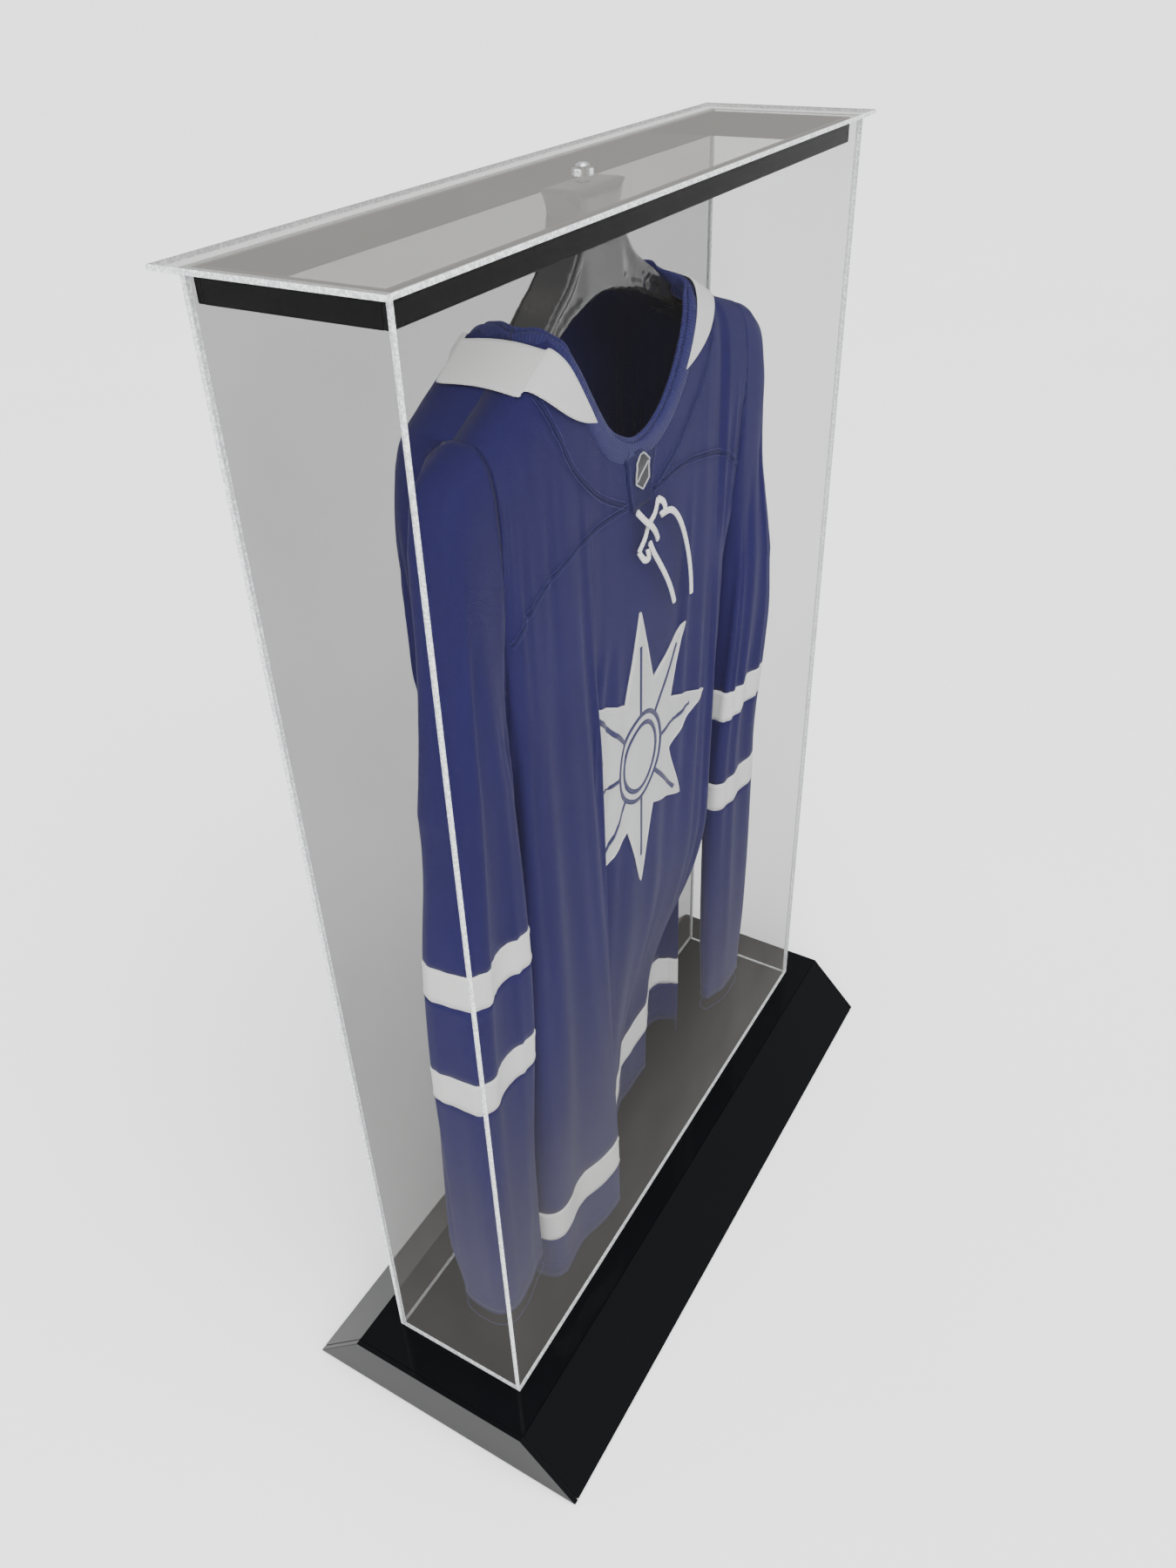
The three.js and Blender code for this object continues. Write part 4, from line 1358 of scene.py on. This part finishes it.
PLACKET_SPAN = (placket_low.x, placket_high.x)
PLACKET_RISE = (placket_low.z, placket_high.z + 1 * MM)
placket, placket_grid = laid_grid(
    "placket", PLACKET_SPAN, PLACKET_RISE, "front", 1.2 * MM, blue_trim, 0.45
)
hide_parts("neck_placket")
LABEL_SPAN = (label_low.x, label_high.x)
LABEL_RISE = (label_low.z, label_high.z)
label, _ = laid_grid(
    "collar_label", LABEL_SPAN, LABEL_RISE, "back", -1.6 * MM, label_cloth, 0, 1
)
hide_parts("size_label")


def radial_patch(name, outline, centre, rings, lift, tree, material, thickness):
    """A patch of any star-shaped outline, as rings about its centre, dropped onto the cloth."""
    scales = np.linspace(0, 1, rings + 1)[1:]
    flat = np.vstack([[centre], *[centre + s * (outline - centre) for s in scales]])
    hits = front_drop(flat, lift, tree)
    count = len(outline)
    faces = [(0, 1 + i, 1 + (i + 1) % count) for i in range(count)]
    for ring in range(rings - 1):
        inner = 1 + ring * count
        outer = inner + count
        for i in range(count):
            beyond = (i + 1) % count
            faces.append((inner + i, outer + i, outer + beyond, inner + beyond))
    faces = [f for f in faces if all(hits[i] is not None for i in f)]
    used = sorted({i for f in faces for i in f})
    new = {old: k for k, old in enumerate(used)}
    points = np.array([hits[i][0] for i in used])
    normals = np.array([hits[i][1] for i in used])
    faces = [tuple(new[i] for i in f) for f in faces]
    piece = make_piece(name, points, faces, material, "hanger", flat[used])
    first = np.cross(points[faces[0][1]] - points[faces[0][0]], points[faces[0][2]] - points[faces[0][0]])
    if first @ normals[faces[0][0]] < 0:
        piece.data.flip_normals()
    return thicken(piece, thickness, 1.0)


def line_tube(name, paths, radius, material, closed=False, sides=6, flat=1.0):
    """Thin rounds of thread or piping along lists of (points, normals), as one mesh."""
    points, faces, uv = [], [], []
    turn = 2 * math.pi * np.arange(sides) / sides
    section = np.stack([np.cos(turn) * radius, np.sin(turn) * radius * flat], -1)
    for path, normals in paths:
        start = len(points)
        points.extend(swept(path, section, normals, closed))
        faces += [tuple(start + i for i in f) for f in tube_faces(len(path), sides, closed)]
        run = run_of(path)
        uv.extend((turn[c] * radius, run[r]) for r in range(len(path)) for c in range(sides))
    piece = make_piece(name, points, faces, material, "hanger", np.array(uv))
    face_out(piece)
    return piece


badge_centre = np.array([PLACKET_X, (badge_low.z + badge_high.z) / 2])
badge_half = np.array([badge_high.x - badge_low.x, badge_high.z - badge_low.z]) / 2
BADGE_HEXAGON = np.array([(0, 1), (1, 0.55), (1, -0.55), (0, -1), (-1, -0.55), (-1, 0.55)])
badge_sides = zip(BADGE_HEXAGON, np.roll(BADGE_HEXAGON, -1, 0))
badge_outline = np.vstack([np.linspace(a, b, 6, endpoint=False) for a, b in badge_sides])
badge_outline = badge_centre + badge_outline * badge_half
badge = radial_patch(
    "woven_badge", badge_outline, badge_centre, 4, 2.1 * MM, "front", label_cloth, 0.8 * MM
)
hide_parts("neck_patch")


def dropped_path(points_xz, lift, tree="front"):
    hits = [hit for hit in front_drop(points_xz, lift, tree) if hit is not None]
    return np.array([h[0] for h in hits]), np.array([h[1] for h in hits])


badge_bar = [badge_centre + badge_half * (s, 0.55 * s) for s in np.linspace(-0.8, 0.8, 8)]
badge_ring = dropped_path(np.vstack([badge_outline, badge_outline[:1]]), 3.0 * MM)
badge_lines = [badge_ring, dropped_path(badge_bar, 3.0 * MM)]
line_tube("badge_rim", badge_lines, 0.7 * MM, badge_edge)
print("placket, badge and label laid on")

# %% [markdown]
# ## Crest
# The crest is a plain compass star of white twill, as large as the real badge and without any
# lettering. It is cut as rings about its centre, laid on the cloth behind the pleat, and lined with
# raised blue strips. Where the pleat folds over it, it simply runs on underneath.

# %% Crest star
crest_low, crest_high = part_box("crest")
CREST_CENTRE = np.array([(crest_low.x + crest_high.x) / 2, (crest_low.z + crest_high.z) / 2])
CREST_HALF = np.array([crest_high.x - crest_low.x, crest_high.z - crest_low.z]) / 2
STAR_POINTS = 8
STAR_LONG, STAR_SHORT, STAR_WAIST = 1.0, 0.93, 0.50
CREST_LIFT = 0.9 * MM
CREST_THICKNESS = 1.3 * MM


def star(scale=1.0, fine=14):
    corners = []
    for k in range(2 * STAR_POINTS):
        angle = math.pi / 2 - math.pi * k / STAR_POINTS
        reach = STAR_WAIST if k % 2 else (STAR_LONG if k % 4 == 0 else STAR_SHORT)
        corners.append((math.cos(angle) * reach, math.sin(angle) * reach))
    corners = np.array(corners)
    sides = [np.linspace(a, b, fine, endpoint=False) for a, b in zip(corners, np.roll(corners, -1, 0))]
    return CREST_CENTRE + np.vstack(sides) * CREST_HALF * scale


crest = radial_patch(
    "crest_star", star(), CREST_CENTRE, 16, CREST_LIFT, "crest", crest_twill, CREST_THICKNESS
)
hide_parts("crest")


def split_runs(points_xz, lift, tree="crest"):
    """A dropped path broken where the cloth isn't there, as a list of runs."""
    runs, run = [], []
    for hit in [*front_drop(points_xz, lift, tree), None]:
        if hit is not None and (not run or np.linalg.norm(hit[0] - run[-1][0]) < 8 * MM):
            run.append(hit)
            continue
        if len(run) > 3:
            runs.append((np.array([h[0] for h in run]), np.array([h[1] for h in run])))
        run = [hit] if hit is not None else []
    return runs


def crest_rays():
    """A line from the middle of the star out to each point, and a ring round its heart."""
    paths = []
    for k in range(STAR_POINTS):
        angle = math.pi / 2 - 2 * math.pi * k / STAR_POINTS
        away = np.array([math.cos(angle), math.sin(angle)]) * CREST_HALF
        paths.append([CREST_CENTRE + away * s for s in np.linspace(0.30, 0.78, 34)])
    for size in (0.23, 0.30):
        turn = np.linspace(0, 2 * math.pi, 73)
        paths.append(CREST_CENTRE + size * np.stack([np.cos(turn), np.sin(turn)], -1) * CREST_HALF)
    return paths


crest_face = CREST_LIFT + CREST_THICKNESS
ray_runs = [run for path in crest_rays() for run in split_runs(path, crest_face)]
line_tube("crest_strips", ray_runs, 2.2 * MM, crest_lines, flat=0.3)
outline_run = star()
rim_runs = split_runs(np.vstack([outline_run, outline_run[:1]]), CREST_LIFT + 0.6 * MM)
line_tube("crest_rim", rim_runs, 1.1 * MM, white_thread, flat=0.9)
print("crest", len(crest.data.polygons), "faces,", len(ray_runs), "strips")

# %% [markdown]
# ## Lace
# A flat braided lace crosses once under the placket and its two ends hang free. Each end is a cord of
# a known length, so it is swept along a route that is given, the same as the solid one's.

# %% Lace ends
LACE_WIDTH = 5 * MM
cross_low, cross_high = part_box("lace_cross")
LACE_Y = (cross_low.y + cross_high.y) / 2
NECK_X = (cross_low.x + cross_high.x) / 2
CROSS_FOOT = cross_low.z
# Each loose end from where it leaves the crossing: (to the right, down), in millimetres.
LACE_ROUTES = {
    "lace_tail_left": [(0, 4), (6, 14), (15, 26), (25, 40), (34, 55), (40, 69)],
    "lace_tail_right": [(18, -11), (33, -9), (45, 1), (55, 17), (63, 37), (68, 57), (70, 75)],
}


def lace_tube(name, path, width=LACE_WIDTH, thick=2.2 * MM):
    count, sides = len(path), 10
    turn = 2 * math.pi * np.arange(sides) / sides
    section = np.stack([np.cos(turn) * width / 2, np.sin(turn) * thick / 2], -1)
    normals = np.tile([0.0, -1.0, 0.0], (count, 1))
    points = swept(path, section, normals).reshape(count, sides, 3)
    ripple = 1 + 0.05 * np.sin(np.arange(count) * 1.7)[:, None, None]
    points = path[:, None] + (points - path[:, None]) * ripple
    run = run_of(path)
    uv = np.stack([np.tile(turn * width / 2, (count, 1)), np.tile(run[:, None], (1, sides))], -1)
    faces = tube_faces(count, sides, False)
    points = points.reshape(-1, 3)
    piece = make_piece(name, points, faces, lace_braid, "hanger", uv.reshape(-1, 2))
    face_out(piece)
    return piece, float(run[-1])


for name, route in LACE_ROUTES.items():
    corners = [(NECK_X + right * MM, LACE_Y, CROSS_FOOT - down * MM) for right, down in route]
    path = spline(corners, 12 * (len(corners) - 1) + 1)
    tail, length = lace_tube(name.replace("lace_tail", "lace_end"), path)
    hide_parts(name)
    print(name, "is", round(length * 1000), "mm long")

# %% Lace crossing
CROSS_STRAPS = [
    [(-16, 25, 1.5), (-8, 16, -0.5), (0, 9, -1.6), (8, 1, -0.5), (15, -7, 1.5)],
    [(15, 24, 1.5), (8, 16, 0.2), (0, 9, 1.2), (-7, 2, 0.4), (-14, -6, 1.5)],
    [(15, 24, 1.5), (20, 20, -0.4), (21, 14, -1.2), (17, 11, 0.6)],
    [(-14, -6, 1.5), (-10, -13, -0.6), (-4, -14, -1.2), (-3, -8, 0.4)],
]


def make_crossing():
    for k, corners in enumerate(CROSS_STRAPS):
        offsets = np.array([(right, out, up) for right, up, out in corners])
        points = np.array([NECK_X, LACE_Y, CROSS_FOOT]) + offsets * MM
        strap, _ = lace_tube(f"lace_strap_{k + 1}", spline(points, 10 * len(corners)))
    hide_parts("lace_cross")


make_crossing()

# %% [markdown]
# ## Piping, seams and stitches
# Every white stripe is bound at both edges with a thin piping, and the hems are rolled. The long
# seams are low welts. All of them follow rows of points that the cloth already has. The stitches
# beside them repeat thousands of times, so a node tree makes them: it walks along a curve, puts a
# short thread at each step, and turns it to lie along the curve.

# %% Piping and rolled hems


def body_loop(row):
    """The body's edge at one row: across the front, and back along the back."""
    return np.vstack([shell_points[front_index[row]], shell_points[back_index[row, 1:-1]][::-1]])


def loop_and_normals(path):
    """A line of the cloth's own points, with the cloth's normals along it."""
    return path, lay_on("shell", path, 0)[1]


def sleeve_loop(side, ring):
    return shell_points[sleeve_index[side][ring]]


stripe_loops = [loop_and_normals(body_loop(row)) for row in (hem_rows, stripe_rows)]
for side in ("left", "right"):
    stripe_loops += [loop_and_normals(sleeve_loop(side, ring)) for ring in cuts[:4]]
line_tube("stripe_piping", stripe_loops, 1.0 * MM, white_thread, closed=True)
hem_loops = [loop_and_normals(body_loop(0))]
hem_loops += [loop_and_normals(sleeve_loop(side, -1)) for side in ("left", "right")]
line_tube("rolled_hems", hem_loops, 1.5 * MM, blue_trim, closed=True, sides=8)

# %% Seams
seam_paths = [loop_and_normals(sleeve_loop(side, 0)) for side in ("left", "right")]
line_tube("armhole_seams", seam_paths, 1.2 * MM, blue_trim, closed=True, flat=0.8)


def shoulder_seam(side):
    columns = np.flatnonzero(outside_neck)
    columns = columns[columns < COLUMNS // 2] if side == "left" else columns[columns > COLUMNS // 2]
    return loop_and_normals(shell_points[front_index[-1, columns]])


YOKE_SEAM = [(-20, 803), (-70, 805), (-120, 796), (-150, 784), (-170, 768)]
BIB_SEAM = [(-24, 806), (-60, 826), (-92, 856), (-112, 890), (-120, 908)]


def mirrored(corners, sign):
    """A seam on one half of the chest: distances out from the middle, and heights."""
    return [(NECK_X + sign * -x * MM, z * MM) for x, z in corners]


chest_paths = []
for sign in (-1, 1):
    for corners in (YOKE_SEAM, BIB_SEAM):
        chest_paths += split_runs(spline(mirrored(corners, sign), 60), 0.9 * MM, "front")
front_seams = [*chest_paths, shoulder_seam("left"), shoulder_seam("right")]
line_tube("chest_and_shoulder_seams", front_seams, 0.9 * MM, blue_trim, flat=0.9)
print("piping and seams", len(stripe_loops) + len(hem_loops) + len(front_seams))

# %% Stitches by geometry nodes


def stitch_tree():
    tree = bpy.data.node_groups.new("stitches", "GeometryNodeTree")
    tree.interface.new_socket("Line", in_out="INPUT", socket_type="NodeSocketGeometry")
    sizes = {"Pitch": 3.2 * MM, "Stitch": 2.2 * MM, "Thread": 0.35 * MM}
    for name, value in sizes.items():
        tree.interface.new_socket(name, in_out="INPUT", socket_type="NodeSocketFloat").default_value = value
    tree.interface.new_socket("Thread finish", in_out="INPUT", socket_type="NodeSocketMaterial")
    tree.interface.new_socket("Stitches", in_out="OUTPUT", socket_type="NodeSocketGeometry")
    start = tree.nodes.new("NodeGroupInput")
    end = tree.nodes.new("NodeGroupOutput")
    steps = tree.nodes.new("GeometryNodeCurveToPoints")
    steps.mode = "LENGTH"
    thread = tree.nodes.new("GeometryNodeMeshCylinder")
    thread.inputs["Vertices"].default_value = 5
    place = tree.nodes.new("GeometryNodeInstanceOnPoints")
    real = tree.nodes.new("GeometryNodeRealizeInstances")
    finish = tree.nodes.new("GeometryNodeSetMaterial")
    link = tree.links.new
    link(start.outputs["Line"], steps.inputs["Curve"])
    link(start.outputs["Pitch"], steps.inputs["Length"])
    link(start.outputs["Thread"], thread.inputs["Radius"])
    link(start.outputs["Stitch"], thread.inputs["Depth"])
    link(steps.outputs["Points"], place.inputs["Points"])
    link(steps.outputs["Rotation"], place.inputs["Rotation"])
    link(thread.outputs["Mesh"], place.inputs["Instance"])
    link(place.outputs["Instances"], real.inputs["Geometry"])
    link(real.outputs["Geometry"], finish.inputs["Geometry"])
    link(start.outputs["Thread finish"], finish.inputs["Material"])
    link(finish.outputs["Geometry"], end.inputs["Stitches"])
    return tree


stitches = stitch_tree()


def sew(name, lines, material, pitch=3.2 * MM, stitch=2.2 * MM, thread=0.35 * MM):
    """Stitches along lists of points, as one plain mesh."""
    curve = bpy.data.curves.new(name, "CURVE")
    curve.dimensions = "3D"
    for line in lines:
        route = curve.splines.new("POLY")
        route.points.add(len(line) - 1)
        route.points.foreach_set("co", np.hstack([line, np.ones((len(line), 1))]).ravel())
    row = bpy.data.objects.new(name, curve)
    bpy.context.scene.collection.objects.link(row)
    maker = row.modifiers.new("stitches", "NODES")
    maker.node_group = stitches
    values = {"Pitch": pitch, "Stitch": stitch, "Thread": thread, "Thread finish": material}
    for item in stitches.interface.items_tree:
        if item.in_out == "INPUT" and item.name in values:
            maker[item.identifier] = values[item.name]
    graph = bpy.context.evaluated_depsgraph_get()
    mesh = bpy.data.meshes.new_from_object(row.evaluated_get(graph))
    bpy.data.objects.remove(row)
    mesh.name = name
    mesh.materials.clear()
    mesh.materials.append(material)
    uv = mesh.uv_layers.get("cloth") or mesh.uv_layers.new(name="cloth")
    spots = np.array([mesh.vertices[loop.vertex_index].co for loop in mesh.loops])
    place = np.stack([spots[:, 0], spots[:, 2]], -1).astype(np.float32)
    uv.data.foreach_set("uv", place.ravel())
    piece = bpy.data.objects.new(name, mesh)
    bpy.context.scene.collection.objects.link(piece)
    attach(piece, "hanger")
    print(name, len(mesh.polygons), "faces")
    return piece


def beside(path, normals, aside, lift, closed=True):
    """The same line moved sideways over the cloth, and lifted off it."""
    moved = path + aside * unit(np.cross(heading(path, closed), normals)) + lift * normals
    return np.vstack([moved, moved[:1]]) if closed else moved


stripe_lines = []
for k, (path, normals) in enumerate(stripe_loops):
    upward = unit(np.cross(heading(path, True), normals))[:, 2].mean()
    into = (1 if k in (0, 3, 5, 7, 9) else -1) * np.sign(upward)
    stripe_lines.append(beside(path, normals, into * 3.0 * MM, 1.3 * MM))
sew("stripe_stitches", stripe_lines, white_thread)
hem_lines = [beside(*loop, aside, 1.1 * MM) for loop in hem_loops for aside in (18 * MM, -18 * MM)]
hem_lines = [line for line in hem_lines if line[:, 2].mean() > shell_points[:, 2].min() + 10 * MM]
sew("hem_stitches", hem_lines, blue_thread)
seam_lines = [beside(*path, 2.4 * MM * s, 0.8 * MM, False) for path in chest_paths for s in (-1, 1)]
sew("seam_stitches", seam_lines, blue_thread, 2.6 * MM, 1.8 * MM)
crest_sewn = [beside(*run, 0, 0.2 * MM, False) for run in split_runs(star(0.955), crest_face)]
sew("crest_stitches", crest_sewn, white_thread, 2.6 * MM, 1.8 * MM)
collar_line = neck_path - neck_up * 9.5 * MM + neck_out * 2.0 * MM
collar_line = np.vstack([collar_line, collar_line[:1]])
sew("collar_stitches", [collar_line], blue_thread, 3 * MM, 2 * MM)
placket_lines = [placket_grid[:, k] + (0, -1.2 * MM, 0) for k in (1, -2)]
sew("placket_stitches", placket_lines, blue_thread, 2.6 * MM, 1.8 * MM)
sew("insert_stitches", [edge for _, edge in inserts.values()], white_thread)

# %% Card tag
tag_low, tag_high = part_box("cuff_tag")


def make_tag():
    columns, rows = 13, 11
    across = np.linspace(0, 1, columns)
    down = np.linspace(0, 1, rows)
    curl = 2.5 * MM * np.sin(math.pi * across)[None] * (0.4 + 0.6 * down)[:, None]
    x = tag_low.x + (tag_high.x - tag_low.x) * across[None] + 1.5 * MM * down[:, None]
    z = tag_high.z - (tag_high.z - tag_low.z) * down[:, None] * (1 - 0.03 * across[None])
    y = (tag_low.y + tag_high.y) / 2 - curl
    points = np.stack(np.broadcast_arrays(x, y, z), -1)
    uv = np.stack(np.broadcast_arrays(across[None] * 0.032, -down[:, None] * 0.026), -1).reshape(-1, 2)
    faces = grid_faces(rows, columns)
    card = make_piece("card_tag", points.reshape(-1, 3), faces, tag_card, "hanger", uv)
    thicken(card, 0.5 * MM, 0.0)
    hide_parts("cuff_tag")
    block = (points[5:9, 2:11] + (0, -0.6 * MM, 0)).reshape(-1, 3)
    shade = make_piece("card_tag_block", block, grid_faces(4, 9), tag_red, "hanger", uv[:36])
    thicken(shade, 0.3 * MM, 0.0)


make_tag()

# %% [markdown]
# ## The cloth's flat sizes
# Each cloth's flat size is worked out and printed. Its area is that of the shape as drawn, before gravity
# moved it. Its height is measured up the settled cloth, and its width is the one over the other. Only the
# area is therefore a test of how far the simulation stretched the cloth.


def cut_size(name):
    """Width and height of a cloth laid flat: its drawn area over its settled height."""
    faces = parts[name]
    corners = drawn_points[faces]
    crossed = np.cross(corners[:, 2] - corners[:, 0], corners[:, 3] - corners[:, 1])
    area = np.linalg.norm(crossed, axis=1).sum() / 2
    height = np.ptp(shell_map[np.unique(faces), 1])
    return round(float(area / height), 3), round(float(height), 3)


with_front = ["placket", "crest_star", "woven_badge", "collar_binding"]
with_front += ["shoulder_insert_left", "shoulder_insert_right"]
for name, piece in cloths.items():
    flat = cut_size(name)
    print(name, "was cut", flat[0], "by", flat[1], "m")
